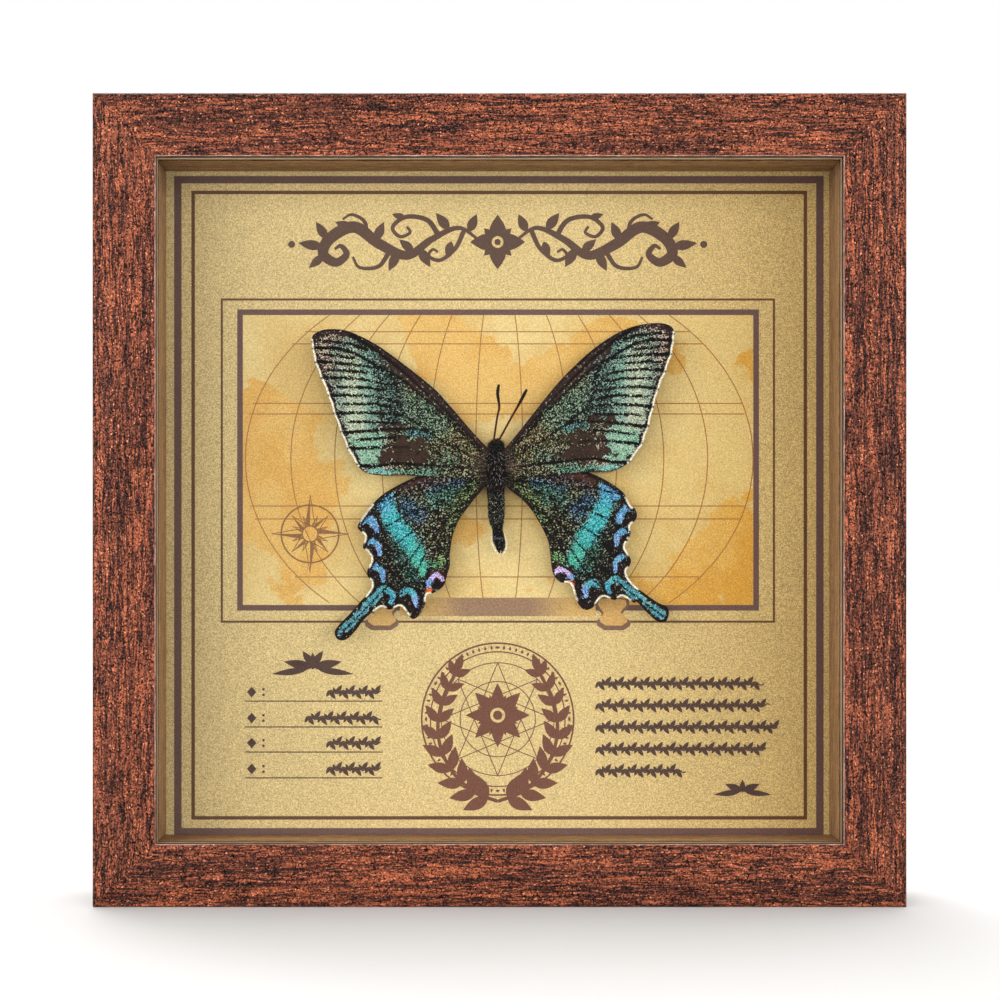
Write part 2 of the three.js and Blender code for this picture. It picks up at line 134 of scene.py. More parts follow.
bottom_rail = block(
    "moulding_bottom", (-half_side, front_y, 0), (half_side, front_y + rail_lip, rail_face)
)
bpy.ops.object.mode_set(mode="EDIT")
bpy.ops.mesh.select_mode(type="EDGE")
bpy.ops.mesh.select_all(action="SELECT")
bpy.ops.mesh.bisect(plane_co=(0, 0, rail_wall), plane_no=(0, 0, 1), threshold=merge_distance)
pick(bottom_rail, "faces", lambda at, normal: normal.y > 0.9 and at.z < rail_wall)
bpy.ops.mesh.extrude_region_move(TRANSFORM_OT_translate={"value": (0, back_y - front_y - rail_lip, 0)})
pick(
    bottom_rail,
    "edges",
    lambda at, along: abs(along.x) > 0.9 and close(at.y, front_y) and not close(at.z, rail_wall),
)
bpy.ops.mesh.bevel(offset=arris, segments=4, profile=0.5, affect="EDGES")
pick(bottom_rail, "edges", lambda at, along: abs(along.x) > 0.9 and close(at.y, back_y))
bpy.ops.mesh.bevel(offset=arris / 3, segments=2, profile=0.5, affect="EDGES")
# Two cuts around the rail bound the thin dark lines on the lip's inner face: painted shadows under the arris
# and at the glass.
for painted_shadow_line in (front_y + arris + front_shadow_width, front_y + rail_lip - back_shadow_width):
    bpy.ops.mesh.select_all(action="SELECT")
    bpy.ops.mesh.bisect(plane_co=(0, painted_shadow_line, 0), plane_no=(0, 1, 0), threshold=merge_distance)
bpy.ops.object.mode_set(mode="OBJECT")

for label in "ab":
    tab_low, tab_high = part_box(f"tab_bottom_{label}")
    cutter = block(
        "slot_cutter",
        (tab_low[0] - slot_margin, tab_low[1] - slot_margin, tab_low[2] - slot_margin),
        (tab_high[0] + slot_margin, tab_high[1] + slot_margin, rail_wall + 1 * MM),
    )
    only(bottom_rail)
    cut = bottom_rail.modifiers.new("slot", "BOOLEAN")
    cut.object, cut.operation, cut.solver = cutter, "DIFFERENCE", "EXACT"
    bpy.ops.object.modifier_apply(modifier="slot")
    bpy.data.objects.remove(cutter)

only(bottom_rail)
bpy.ops.object.mode_set(mode="EDIT")
for end in (-1, 1):
    bpy.ops.mesh.select_all(action="SELECT")
    bpy.ops.mesh.bisect(
        plane_co=(end * (half_side - mitre_gap), 0, 0),
        plane_no=(end, 0, 1),
        threshold=merge_distance,
        clear_outer=True,
        use_fill=True,
    )
bpy.ops.mesh.select_all(action="SELECT")
bpy.ops.mesh.normals_make_consistent(inside=False)
bpy.ops.object.mode_set(mode="OBJECT")
bpy.ops.object.shade_smooth_by_angle(angle=smooth_below)


def put(tree, value, socket):
    """Feeds an input: another node's socket is linked to it, and a value is stored."""
    if isinstance(value, bpy.types.NodeSocket):
        tree.links.new(value, socket)
    else:
        socket.default_value = value


def add(tree, kind, inputs=(), **settings):
    """A node with its settings and its inputs."""
    node = tree.nodes.new(kind)
    for name, value in settings.items():
        setattr(node, name, value)
    for name, value in dict(inputs).items():
        put(tree, value, node.inputs[name])
    return node


def sums(tree, operation, a, b=None, clamp=False):
    """The result of a maths operation on one or two sockets or values."""
    inputs = {0: a} if b is None else {0: a, 1: b}
    return add(tree, "ShaderNodeMath", inputs, operation=operation, use_clamp=clamp).outputs[0]


def times(tree, a, b, clamp=False):
    return sums(tree, "MULTIPLY", a, b, clamp)


def plus(tree, a, b, clamp=False):
    return sums(tree, "ADD", a, b, clamp)


def minus(tree, a, b):
    return sums(tree, "SUBTRACT", a, b)


def blended(tree, factor, a, b):
    """Colour a mixed towards colour b by the factor."""
    node = tree.nodes.new("ShaderNodeMix")
    node.data_type = "RGBA"
    for index, value in ((0, factor), (6, a), (7, b)):
        put(tree, value, node.inputs[index])
    return node.outputs[2]


def stepped(tree, value, start, end):
    """0 below start and 1 above end, smooth between them."""
    inputs = {"Value": value, "From Min": start, "From Max": end}
    return add(tree, "ShaderNodeMapRange", inputs, interpolation_type="SMOOTHSTEP").outputs[0]


def grain(tree, vector, scale, detail=2.0, roughness=0.5):
    """Cloudy noise from 0 to 1."""
    inputs = {"Vector": vector, "Scale": scale, "Detail": detail, "Roughness": roughness}
    return add(tree, "ShaderNodeTexNoise", inputs).outputs["Fac"]


def cellular(tree, vector, scale):
    """Small random cells: how far a place is from its cell's middle, and the cell's three random values."""
    cells = add(tree, "ShaderNodeTexVoronoi", {"Vector": vector, "Scale": scale}).outputs
    chances = add(tree, "ShaderNodeSeparateColor", {"Color": cells["Color"]}).outputs
    return cells["Distance"], chances


def stretched(tree, vector, scale):
    inputs = {0: vector, 1: scale}
    return add(tree, "ShaderNodeVectorMath", inputs, operation="MULTIPLY").outputs[0]


def new_material(name):
    material = bpy.data.materials.new(name)
    material.use_nodes = True
    tree = material.node_tree
    return material, tree, tree.nodes["Principled BSDF"]


def feed(tree, shader, **inputs):
    """Feeds the shader's inputs, whose names are given with _ for each space."""
    for name, value in inputs.items():
        put(tree, value, shader.inputs[name.replace("_", " ")])


def own_place(tree):
    return add(tree, "ShaderNodeTexCoord").outputs["Object"]


def bumped(tree, shader, height, distance, strength=1.0):
    bump = add(tree, "ShaderNodeBump", {"Height": height, "Distance": distance, "Strength": strength})
    tree.links.new(bump.outputs["Normal"], shader.inputs["Normal"])


def colour(red, green, blue):
    """A colour given as it looks on a screen, 0 to 255, in the linear values that shaders read."""
    linear = [
        value / 255 / 12.92 if value <= 10 else ((value / 255 + 0.055) / 1.055) ** 2.4
        for value in (red, green, blue)
    ]
    return (*linear, 1.0)


def group(name, inputs, outputs):
    """A shader node group and its input and output nodes. Sockets are given as name: kind."""
    tree = bpy.data.node_groups.new(name, "ShaderNodeTree")
    for side, sockets in (("INPUT", inputs), ("OUTPUT", outputs)):
        for socket, kind in sockets.items():
            tree.interface.new_socket(socket, in_out=side, socket_type="NodeSocket" + kind)
    return tree, tree.nodes.new("NodeGroupInput").outputs, tree.nodes.new("NodeGroupOutput").inputs


# The foil's grain runs along X of the vector that it is given: soft bands, dark wavy pores in clusters, sand
# of darker and lighter grains, and orange flecks.
foil, given, out = group(
    "foil_grain",
    {"Vector": "Vector", "Sand": "Float", **dict.fromkeys(("Light", "Dark", "Fleck", "Pore"), "Color")},
    {"Color": "Color", "Roughness": "Float", "Height": "Float"},
)
sway = grain(foil, stretched(foil, given["Vector"], (150, 420, 420)), 1.0, 2.0)
shifted = add(foil, "ShaderNodeCombineXYZ", {"Z": times(foil, sway, 1.6 * MM)})
along = add(foil, "ShaderNodeVectorMath", {0: given["Vector"], 1: shifted.outputs[0]}, operation="ADD")
along = along.outputs[0]
bands = grain(foil, stretched(foil, along, (30, 420, 420)), 1.0, 4.0, 0.62)
wood = blended(foil, stepped(foil, bands, 0.38, 0.62), given["Dark"], given["Light"])
_, chance = cellular(foil, stretched(foil, given["Vector"], (0.8, 1, 1)), 3600.0)
wood = blended(foil, stepped(foil, chance["Red"], 0.86, 0.98), wood, given["Fleck"])
dashes = grain(foil, stretched(foil, along, (200, 3500, 3500)), 1.0, 2.0, 0.6)
clusters = grain(foil, stretched(foil, along, (46, 640, 640)), 1.0, 3.0, 0.6)
pores = times(foil, stepped(foil, dashes, 0.45, 0.52), stepped(foil, clusters, 0.38, 0.5))
hairlines = times(foil, stepped(foil, dashes, 0.53, 0.6), 0.85)
pores = sums(foil, "MAXIMUM", pores, hairlines)
grit = plus(foil, times(foil, chance["Green"], 0.6), 0.55)
pores = times(foil, pores, grit, clamp=True)
figure = blended(foil, pores, wood, given["Pore"])
value = times(foil, minus(foil, chance["Blue"], 0.5), given["Sand"])
value = plus(foil, value, 1.0)
figure = add(foil, "ShaderNodeHueSaturation", {"Value": value, "Color": figure}).outputs[0]
foil.links.new(figure, out["Color"])
foil.links.new(plus(foil, times(foil, pores, 0.2), 0.42), out["Roughness"])
foil.links.new(minus(foil, times(foil, chance["Blue"], 0.3), pores), out["Height"])


def foil_material(name, turn, offset, tones, sand, relief):
    """Wood foil whose grain runs along X turned about Y. The tones are light, dark, fleck and pore."""
    material, tree, shader = new_material(name)
    inputs = {"Vector": own_place(tree), "Rotation": (0, turn, 0), "Location": offset}
    inputs = {"Vector": add(tree, "ShaderNodeMapping", inputs).outputs[0], "Sand": sand}
    for socket, shade in zip(("Light", "Dark", "Fleck", "Pore"), tones):
        inputs[socket] = colour(*shade)
    figure = add(tree, "ShaderNodeGroup", inputs, node_tree=foil).outputs
    feed(tree, shader, Base_Color=figure["Color"], Roughness=figure["Roughness"], Specular_IOR_Level=0.2)
    bumped(tree, shader, figure["Height"], relief, 0.8)
    return material


# Each rail shows its own stretch of each foil: the offset in the grain, its shift from one rail to the next,
# the strength of the sand, the relief in millimetres, and the tones.
# The lip foil is a painted reflection of the gold card, the dark lines are painted shadows under the arris and
# at the glass, and the pale edge is a painted highlight on the arris.
rail_foils = (
    ("wood_foil", (0, 0, 0), (0.31, 0.17, 0.23), 2.2, 0.04,
     ((138, 73, 48), (94, 49, 35), (172, 106, 76), (33, 20, 21))),
    ("lip_painted_reflection", (0, 0.1, 0.3), (0.2, 0, 0), 0.25, 0.015,
     ((212, 186, 152), (190, 164, 132), (228, 206, 174), (158, 132, 106))),
    ("painted_shadow_line", (0.5, 0, 0.4), (0, 0.1, 0), 0.3, 0.04, ((48, 32, 28), (36, 24, 22), (70, 48, 40), (22, 15, 15))),
    ("painted_highlight_edge", (0.7, 0, 0.1), (0, 0.2, 0), 0.4, 0.04,
     ((206, 164, 152), (168, 124, 112), (226, 196, 184), (112, 74, 66))),
)
painted_reflection_slot, painted_shadow_slot, painted_highlight_slot = 1, 2, 3


def copied(source, name):
    made = source.copy()
    made.data = source.data.copy()
    made.name = made.data.name = name
    bpy.context.collection.objects.link(made)
    return made


middle = Matrix.Translation((0, 0, centre_z))
rails = {"bottom": bottom_rail}
for step, place in enumerate(("right", "top", "left"), 1):
    rails[place] = copied(bottom_rail, f"moulding_{place}")
    rails[place].data.transform(middle @ Matrix.Rotation(-step * math.pi / 2, 4, "Y") @ middle.inverted())
for step, (place, rail) in enumerate(rails.items()):
    rail.data.materials.clear()
    for name, offset, shift, sand, relief, tones in rail_foils:
        offset = [a + b * step for a, b in zip(offset, shift)]
        turn = (step % 2) * math.pi / 2
        rail.data.materials.append(foil_material(f"{name}_{place}", turn, offset, tones, sand, relief * MM))
    # The arris is pale, a painted highlight, and the lip behind it takes a paler foil, a painted reflection of
    # the gold card, between two dark lines of painted shadow.
    sight = half_side - rail_face
    for face in rail.data.polygons:
        off = max(abs(face.center.x), abs(face.center.z - centre_z))
        if off > sight + arris or abs(face.normal.y) > 0.7 or face.center.y > front_y + rail_lip:
            continue
        depth = face.center.y - front_y
        if depth < arris:
            face.material_index = painted_highlight_slot
        elif depth < arris + front_shadow_width or depth > rail_lip - back_shadow_width:
            face.material_index = painted_shadow_slot
        else:
            face.material_index = painted_reflection_slot
    settle(rail, "moulding", f"rail_{place}")

# ---------------------------------------------------------------------------- glass pane
# A pane of 2 mm float glass that lies in the rebate against the back of the lip. It lets the lamps through to
# the card, and a faint green shows only at its edges.
glass, tree, shader = new_material("float_glass")
feed(
    tree,
    shader,
    Base_Color=(0.985, 0.995, 0.99, 1),
    Roughness=0.0,
    IOR=1.5,
    Transmission_Weight=1.0,
    Specular_IOR_Level=0.12,
)
shadow_ray = add(tree, "ShaderNodeLightPath").outputs["Is Shadow Ray"]
lamps_through = add(tree, "ShaderNodeMixShader", {0: shadow_ray})
tree.links.new(shader.outputs[0], lamps_through.inputs[1])
tree.links.new(add(tree, "ShaderNodeBsdfTransparent").outputs[0], lamps_through.inputs[2])
tree.links.new(lamps_through.outputs[0], tree.nodes["Material Output"].inputs["Surface"])


def broken_block(name, low, high, width):
    """A box whose edges are broken, or ground, to the width."""
    made = block(name, low, high)
    bpy.ops.object.mode_set(mode="EDIT")
    bpy.ops.mesh.select_all(action="SELECT")
    bpy.ops.mesh.bevel(offset=width, segments=2, affect="EDGES")
    bpy.ops.object.mode_set(mode="OBJECT")
    return made


pane = broken_block("float_glass_pane", pane_low, pane_high, 0.4 * MM)
pane.data.materials.append(glass)
settle(pane, "glass", "glass_pane")

# ---------------------------------------------------------------------------- spacers
# Four wooden strips between glass and card, wrapped in a plain bronze-brown foil. Their inner faces are the
# walls of the box, and their edges are slightly broken.
bronze_tones = ((196, 155, 110), (172, 134, 94), (216, 172, 124), (140, 102, 72))
for place in ("top", "bottom", "left", "right"):
    strip = broken_block(f"spacer_strip_{place}", *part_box(f"spacer_{place}"), 0.25 * MM)
    bpy.ops.object.shade_smooth_by_angle(angle=smooth_below)
    turn = math.pi / 2 if place in ("left", "right") else 0
    bronze = foil_material(f"bronze_foil_{place}", turn, (0.4, 0.2, 0.1), bronze_tones, 0.25, 0.015 * MM)
    strip.data.materials.append(bronze)
    settle(strip, "spacer", f"spacer_{place}")

# ---------------------------------------------------------------------------- backing card
# A stiff card with a gold, finely sparkling face, printed in dark brown: double border lines, a map-like
# panel with a grid of fine lines and a compass rose, ornaments above and below, and ruled lines. The print is
# flat: the card's face is divided along its outlines, and each part takes its own ink.
card_low, card_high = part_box("backing_card")
card_y = card_low[1]
# Sheet coordinates are millimetres from the middle of the opening, x to the right and z upwards.
papers = []  # (outline, ink), painted in this order
sheet_reach = 90.0


def paint(ink, outline):
    """Lays a closed shape of one ink over what is already there."""
    papers.append(([(float(x), float(z)) for x, z in outline], ink))


def box_outline(left, bottom, right, top):
    return [(left, bottom), (right, bottom), (right, top), (left, top)]


def ellipse(x, z, wide, high, steps, start=0.0, turn=2 * math.pi):
    count = steps if close(turn, 2 * math.pi) else steps + 1
    angles = [start + turn * i / steps for i in range(count)]
    return [(x + wide * math.cos(a), z + high * math.sin(a)) for a in angles]


def stroke(ink, points, width, closed=False):
    """A line through the points, as a chain of quads. width is one value, or one for each point."""
    line = np.array(points, float)
    widths = np.broadcast_to(np.asarray(width, float), len(line))
    if closed:
        ahead, behind = np.roll(line, -1, 0), np.roll(line, 1, 0)
    else:
        ahead, behind = np.vstack([line[1:], line[-1:]]), np.vstack([line[:1], line[:-1]])
    way = ahead - behind
    way /= np.maximum(np.linalg.norm(way, axis=1, keepdims=True), 1e-9)
    off = np.stack([-way[:, 1], way[:, 0]], 1) * widths[:, None] / 2
    left, right = line + off, line - off
    last = len(line) if closed else len(line) - 1
    for i in range(last):
        j = (i + 1) % len(line)
        paint(ink, [right[i], right[j], left[j], left[i]])


def border(ink, inside, left, bottom, right, top, width):
    """A printed rectangle of line, drawn as two nested boxes."""
    paint(ink, box_outline(left, bottom, right, top))
    paint(inside, box_outline(left + width, bottom + width, right - width, top - width))


def curve(points, steps=10):
    """A smooth line through the points."""
    path = [Vector(p) for p in points]
    path = [2 * path[0] - path[1], *path, 2 * path[-1] - path[-2]]
    line = []
    for a, b, c, d in zip(path, path[1:], path[2:], path[3:]):
        square, cube = 2 * a - 5 * b + 4 * c - d, 3 * b - a - 3 * c + d
        for i in range(steps):
            t = i / steps
            line.append(0.5 * ((2 * b) + (c - a) * t + square * t**2 + cube * t**3))
    return [tuple(p) for p in [*line, path[-2]]]


paint("gold", box_outline(-sheet_reach, -sheet_reach, sheet_reach, sheet_reach))
border("border", "gold", -82.6, -84.9, 83.2, 83.45, 1.9)
border("rule", "gold", -78.2, -80.85, 79.0, 79.7, 0.9)

# The panel: a thin outer line, a thick inner one, and the grid of a globe's meridians and parallels.
panel = {"left": -66.5, "bottom": -27.5, "right": 66.7, "top": 49.4}
border("rule", "gold", -70.7, -30.6, 70.8, 52.2, 0.55)
panel_line, grid_line = 1.45, 0.28
border("border", "panel", *panel.values(), panel_line)


def in_panel(points):
    """Those of the points that lie within the panel's thick line."""
    left, bottom, right, top = panel.values()
    return [
        (x, z)
        for x, z in points
        if left + panel_line < x < right - panel_line and bottom + panel_line < z < top - panel_line
    ]


globe_x, globe_z, globe_wide, globe_high = 0.4, 11.2, 64.8, 49.4
for wide in (globe_wide, 53.2, 42.0, 30.0, 18.0, 6.0):
    for side in (0, math.pi):
        arc = ellipse(globe_x, globe_z, wide, globe_high, 90, side - math.pi / 2, math.pi)
        stroke("fine", in_panel(arc), grid_line)
for z in (43.7, 40.6, 25.4, 22.7, -0.8, -4.1, -18.9):
    reach = globe_x + globe_wide * math.sqrt(1 - ((z - globe_z) / globe_high) ** 2)
    parallel = [(-reach + 0.8 * i, z) for i in range(int(2 * reach / 0.8) + 1)]
    stroke("fine", in_panel(parallel), grid_line)

# Under the panel lies a shaded bar between two spool-shaped knobs.
paint("shade", box_outline(-25.0, -28.9, 25.0, -24.2))
knob_x, knob_z = 29.4, -28.4
knob = [
    (25.2, -24.0), (33.4, -24.4), (33.7, -26.2), (32.4, -27.5), (31.8, -28.4), (32.5, -29.2), (34.0, -30.2),
    (33.8, -31.4), (32.2, -32.5), (27.2, -32.5), (25.4, -31.3), (25.2, -30.1), (26.3, -29.2), (26.5, -28.3),
    (25.6, -27.3), (24.8, -26.0),
]
for flip in (-1, 1):
    for ink, size, rise in (("knob_rim", 1.0, 0.0), ("knob", 0.82, 0.45)):
        outline = [(knob_x + (x - knob_x) * size, knob_z + rise + (z - knob_z) * size) for x, z in knob]
        paint(ink, [(flip * x, z) for x, z in outline])


def polar(x, z, angle, out, off=0.0):
    """The place that lies out from x, z along the angle, and off to the left of that."""
    along, across = math.cos(angle), math.sin(angle)
    return x + out * along - off * across, z + out * across + off * along


# The compass rose: a ring, a hub and long and short points, each point half open and half filled.
rose_x, rose_z, rose_ring, rose_hub = -47.9, -7.9, 7.35, 2.05
stroke("rose", ellipse(rose_x, rose_z, rose_ring, rose_ring, 64), 0.42, closed=True)
for count, length, base, turned in ((4, 9.9, 2.5, 0), (4, 6.6, 1.9, math.pi / 4), (8, 4.9, 1.0, math.pi / 8)):
    for i in range(count):
        angle = turned + 2 * math.pi * i / count
        tip = polar(rose_x, rose_z, angle, length)
        foot = polar(rose_x, rose_z, angle, rose_hub)
        side = polar(rose_x, rose_z, angle, rose_hub + 0.3, base / 2)
        other = polar(rose_x, rose_z, angle, rose_hub + 0.3, -base / 2)
        paint("rose", [foot, tip, side])
        stroke("rose", [tip, other, foot], 0.22)
stroke("rose", ellipse(rose_x, rose_z, rose_hub, rose_hub, 32), 0.38, closed=True)

# The ornament above the panel: a flower and two scrolls with leaves, the same on both sides.
title_z = 66.6


def leaf(ink, x, z, length, width, angle):
    """A pointed leaf from its foot at x, z."""
    outline = []
    for i in range(16):
        t = i / 8 if i <= 8 else (16 - i) / 8
        across = width / 2 * math.sin(math.pi * t**0.8) * (1 if i <= 8 else -1)
        outline.append(polar(x, z, angle, length * t, across))
    paint(ink, outline[::-1])


def both(ink, x, z, length, width, angle, middle=0.0):
    """A leaf and its mirror image on the other side of the middle."""
    leaf(ink, middle + x, z, length, width, angle)
    leaf(ink, middle - x, z, length, width, math.pi - angle)


for flip in (-1, 1):
    vine = curve([
        (4.6, 0.4), (10, 3.6), (17, 0.6), (23, -3.4), (30, -0.6), (36.5, 3.8), (42.5, 1.2), (44.6, -2.8),
        (41.4, -5.2), (38.6, -3.2), (40.0, -1.0), (41.6, -1.8),
    ])
    swell = [0.7 + 2.3 * math.sin(math.pi * i / (len(vine) - 1)) ** 1.3 for i in range(len(vine))]
    stroke("title", [(flip * x, title_z + z) for x, z in vine], swell)
    for line, width in (
        ([(15, 1.6), (18, 5.6), (23.4, 6.4), (26.8, 3.8), (25.0, 1.4), (22.4, 2.4), (23.2, 4.0)], 1.2),
        ([(27.5, -2.2), (30.4, -6.2), (35.2, -6.5), (37.0, -3.8)], 1.1),
        ([(8.6, 2.9), (10.8, -1.6), (14.6, -4.6), (17.6, -3.6), (16.6, -1.9), (15.2, -2.6)], 1.1),
        ([(33.4, 1.6), (34.0, 5.2), (37.2, 7.0), (39.6, 5.8)], 1.0),
    ):
        bend = curve(line)
        taper = [width * (1.15 - 0.6 * i / len(bend)) for i in range(len(bend))]
        stroke("title", [(flip * x, title_z + z) for x, z in bend], taper)
for x, z, length, width, angle in (
    (7.4, 2.6, 5.0, 2.5, 2.0), (12.4, 3.2, 5.4, 2.6, 0.9), (11.8, 0.2, 4.6, 2.2, -1.3),
    (20.0, -1.6, 5.6, 2.6, -2.1), (21.5, -2.4, 4.8, 2.3, 0.7), (25.4, -2.6, 5.4, 2.5, -1.1),
    (31.2, 0.4, 5.2, 2.5, 2.0), (36.8, 3.4, 5.0, 2.4, 0.35), (44.6, -1.2, 6.4, 2.6, 0.15),
    (43.6, 0.8, 5.2, 2.4, 1.0), (44.4, -3.4, 5.0, 2.2, -0.7), (23.4, 6.0, 3.8, 1.8, 0.3),
):
    both("title", x, title_z + z, length, width, angle)
for flip in (-1, 1):
    paint("title", ellipse(flip * 52.6, title_z - 0.6, 0.9, 0.9, 16))
for i in range(4):
    leaf("title", 0, title_z, 7.0, 4.2, math.pi / 2 * i)
    leaf("title", 0, title_z, 5.0, 2.6, math.pi / 2 * i + math.pi / 4)
paint("gold", ellipse(0, title_z, 1.5, 1.5, 20))
paint("title", ellipse(0, title_z, 0.8, 0.8, 16))

# The roundel below the panel: rings with a row of beads, a star of fine lines, and two laurel branches that
# meet under an open flower.
seal_x, seal_z, seal_out, seal_in, seal_star = 0.0, -55.2, 19.4, 17.2, 14.4
for radius, width in ((seal_out, 0.45), (seal_in, 0.32), (seal_star, 0.25), (9.6, 0.25)):
    stroke("seal", ellipse(seal_x, seal_z, radius, radius, 90), width, closed=True)
for i in range(72):
    angle = 2 * math.pi * i / 72
    radius = (seal_out + seal_in) / 2
    length = 1.1 if i % 6 else 0.7
    bead = polar(seal_x, seal_z, angle, radius - length / 2)
    leaf("seal", *bead, length, 0.6 if i % 6 else 1.2, angle)
corners = []
for i in range(9):
    angle = 2 * math.pi * 3 * i / 8
    corners.append((seal_x + seal_star * math.sin(angle), seal_z + seal_star * math.cos(angle)))
for a, b in zip(corners, corners[1:]):
    stroke("seal", [a, b], 0.25)
for flip in (-1, 1):
    branch = curve([(0.0, -21.0), (6.4, -18.4), (12.4, -12.2), (15.2, -4.0), (14.2, 4.6), (10.6, 12.0)], 8)
    stroke("seal", [(flip * x, seal_z + z) for x, z in branch], 0.9)
    for i in range(3, len(branch) - 1, 4):
        (x, z), (next_x, next_z) = branch[i], branch[i + 1]
        heading = math.atan2(next_z - z, next_x - x)
        size = 7.4 - 3.0 * i / len(branch)
        for lean in (0.75, -0.75):
            turn = heading + lean
            leaf("seal", flip * x, seal_z + z, size, size * 0.44, turn if flip == 1 else math.pi - turn)
    leaf("seal", flip * 10.6, seal_z + 12.0, 5.0, 2.2, 1.9 if flip == 1 else math.pi - 1.9)
for i in range(8):
    angle = math.pi / 4 * i
    leaf("seal", seal_x, seal_z + 1.0, 8.2, 3.4, angle)
    leaf("seal", seal_x, seal_z + 1.0, 5.6, 2.0, angle + math.pi / 8)
paint("gold", ellipse(seal_x, seal_z + 1.0, 1.9, 1.9, 24))
paint("seal", ellipse(seal_x, seal_z + 1.0, 1.2, 1.2, 20))


def running_vine(ink, left, right, z, pitch=3.3):
    """A row of ornament: a waving stem with a leaf in each bend."""
    length = right - left
    steps = int(length / 0.35)
    stem = []
    for i in range(steps + 1):
        wave = 0.42 * math.sin(2 * math.pi * length * i / steps / pitch)
        stem.append((left + length * i / steps, z + wave))
    stroke(ink, stem, 0.34)
    for i in range(int(length / pitch * 2)):
        x = left + pitch * (i + 0.5) / 2
        up = 1 if i % 2 else -1
        leaf(ink, x - 0.2, z - 0.25 * up, 2.6, 1.15, up * 0.95)
        leaf(ink, x - 0.3, z - 0.25 * up, 1.7, 0.85, math.pi - up * 1.1)


# Four ruled lines at the left under rows of leaves, and five rows and a sprig at the right.
both("ink", 0.0, -42.0, 7.6, 2.4, 0.2, -47.2)
both("ink", 1.4, -42.6, 9.2, 1.7, -0.12, -47.2)
both("ink", 0.2, -41.2, 4.2, 1.8, 0.95, -47.2)
leaf("ink", -47.2, -42.6, 4.4, 2.0, math.pi / 2)
for z, start in ((-50.6, -43.5), (-57.2, -49.0), (-63.6, -43.5), (-70.2, -43.5)):
    stroke("ink", [(-64.4, z), (-29.4, z)], 0.3)
    paint("ink", [(-64.0, z + 2.3), (-62.8, z + 0.9), (-61.6, z + 2.3), (-62.8, z + 3.7)])
    for rise in (1.6, 3.0):
        paint("ink", ellipse(-59.8, z + rise, 0.35, 0.35, 12))
    running_vine("ink", start, -29.8, z + 2.3)
for z, stop in ((-46.1, 68.0), (-51.7, 69.5), (-57.2, 71.4), (-62.8, 68.6), (-68.4, 48.0)):
    running_vine("ink", 25.2, stop, z)
both("ink", 0.6, -73.8, 6.8, 1.5, -0.1, 62.5)
both("ink", 0.0, -73.6, 4.8, 1.9, 0.4, 62.5)
leaf("ink", 62.5, -74.0, 3.4, 1.5, math.pi / 2)

# The sheet is cut along all outlines, and each part takes the ink of the last paper that lies over it.
points, edges = [], []
for outline, _ in papers:
    first = len(points)
    edges += [(first + i, first + (i + 1) % len(outline)) for i in range(len(outline))]
    points += [Vector(p) for p in outline]
flat, _, parts, _, _, _ = delaunay_2d_cdt(points, edges, [], 1, 1e-4)
sheet = np.array([tuple(p) for p in flat])
parts = np.array([tuple(part) for part in parts])
middles = sheet[parts].mean(1)


def inside(at, outline):
    """Which points lie within a closed outline."""
    crossings = np.zeros(len(at), int)
    for a, b in zip(outline, np.roll(outline, -1, 0)):
        if a[1] == b[1]:
            continue
        level = (a[1] > at[:, 1]) != (b[1] > at[:, 1])
        crossings += level & (at[:, 0] < a[0] + (b[0] - a[0]) * (at[:, 1] - a[1]) / (b[1] - a[1]))
    return crossings % 2 == 1


# Each ink's colour and the amount of sparkle that shows through it, and for some its roughness and metal.
inks_used = {
    "gold": ((217, 192, 134), 0.66, 0.55, 0.1),
    "border": ((104, 78, 72), 0.4),
    "rule": ((98, 66, 44), 0.4),
    "ink": ((76, 54, 46), 0.5),
    "panel": ((206, 176, 110), 0.33, 0.6, 0.05),
    "fine": ((166, 116, 62), 0.4),
    "rose": ((140, 96, 58), 0.4),
    "title": ((90, 66, 54), 0.5),
    "seal": ((112, 70, 54), 0.4),
    "shade": ((150, 118, 92), 0.5),
    "knob_rim": ((126, 94, 76), 0.4),
    "knob": ((212, 170, 104), 0.4),
}
ink_of = np.zeros(len(parts), int)
for outline, ink in papers:
    outline = np.array(outline)
    low, high = outline.min(0) - 1e-6, outline.max(0) + 1e-6
    near_by = np.flatnonzero(((middles > low) & (middles < high)).all(1))
    if len(near_by):
        ink_of[near_by[inside(middles[near_by], outline)]] = list(inks_used).index(ink)


def built(name, points, faces):
    """An object of the given points and faces."""
    mesh = bpy.data.meshes.new(name)
    mesh.from_pydata(points.tolist(), [], faces.tolist())
    made = bpy.data.objects.new(name, mesh)
    bpy.context.collection.objects.link(made)
    return made


half_card = (card_high[0] - card_low[0]) / 2
trim = half_card / (sheet_reach * MM)
rim = np.abs(sheet).max(1) > sheet_reach - 0.01
placed = np.stack([sheet[:, 0] * MM, np.full(len(sheet), card_y), sheet[:, 1] * MM], 1)
placed[rim] *= np.array([trim, 1, trim])
placed[:, 2] += centre_z
card = built("printed_card", placed, parts)
card.data.polygons.foreach_set("material_index", ink_of)
only(card)
bpy.ops.object.mode_set(mode="EDIT")
bpy.ops.mesh.select_all(action="SELECT")
bpy.ops.mesh.remove_doubles(threshold=merge_distance)
bpy.ops.mesh.extrude_region_move(TRANSFORM_OT_translate={"value": (0, card_high[1] - card_low[1], 0)})
bpy.ops.mesh.select_all(action="SELECT")
bpy.ops.mesh.normals_make_consistent(inside=False)
bpy.ops.object.mode_set(mode="OBJECT")
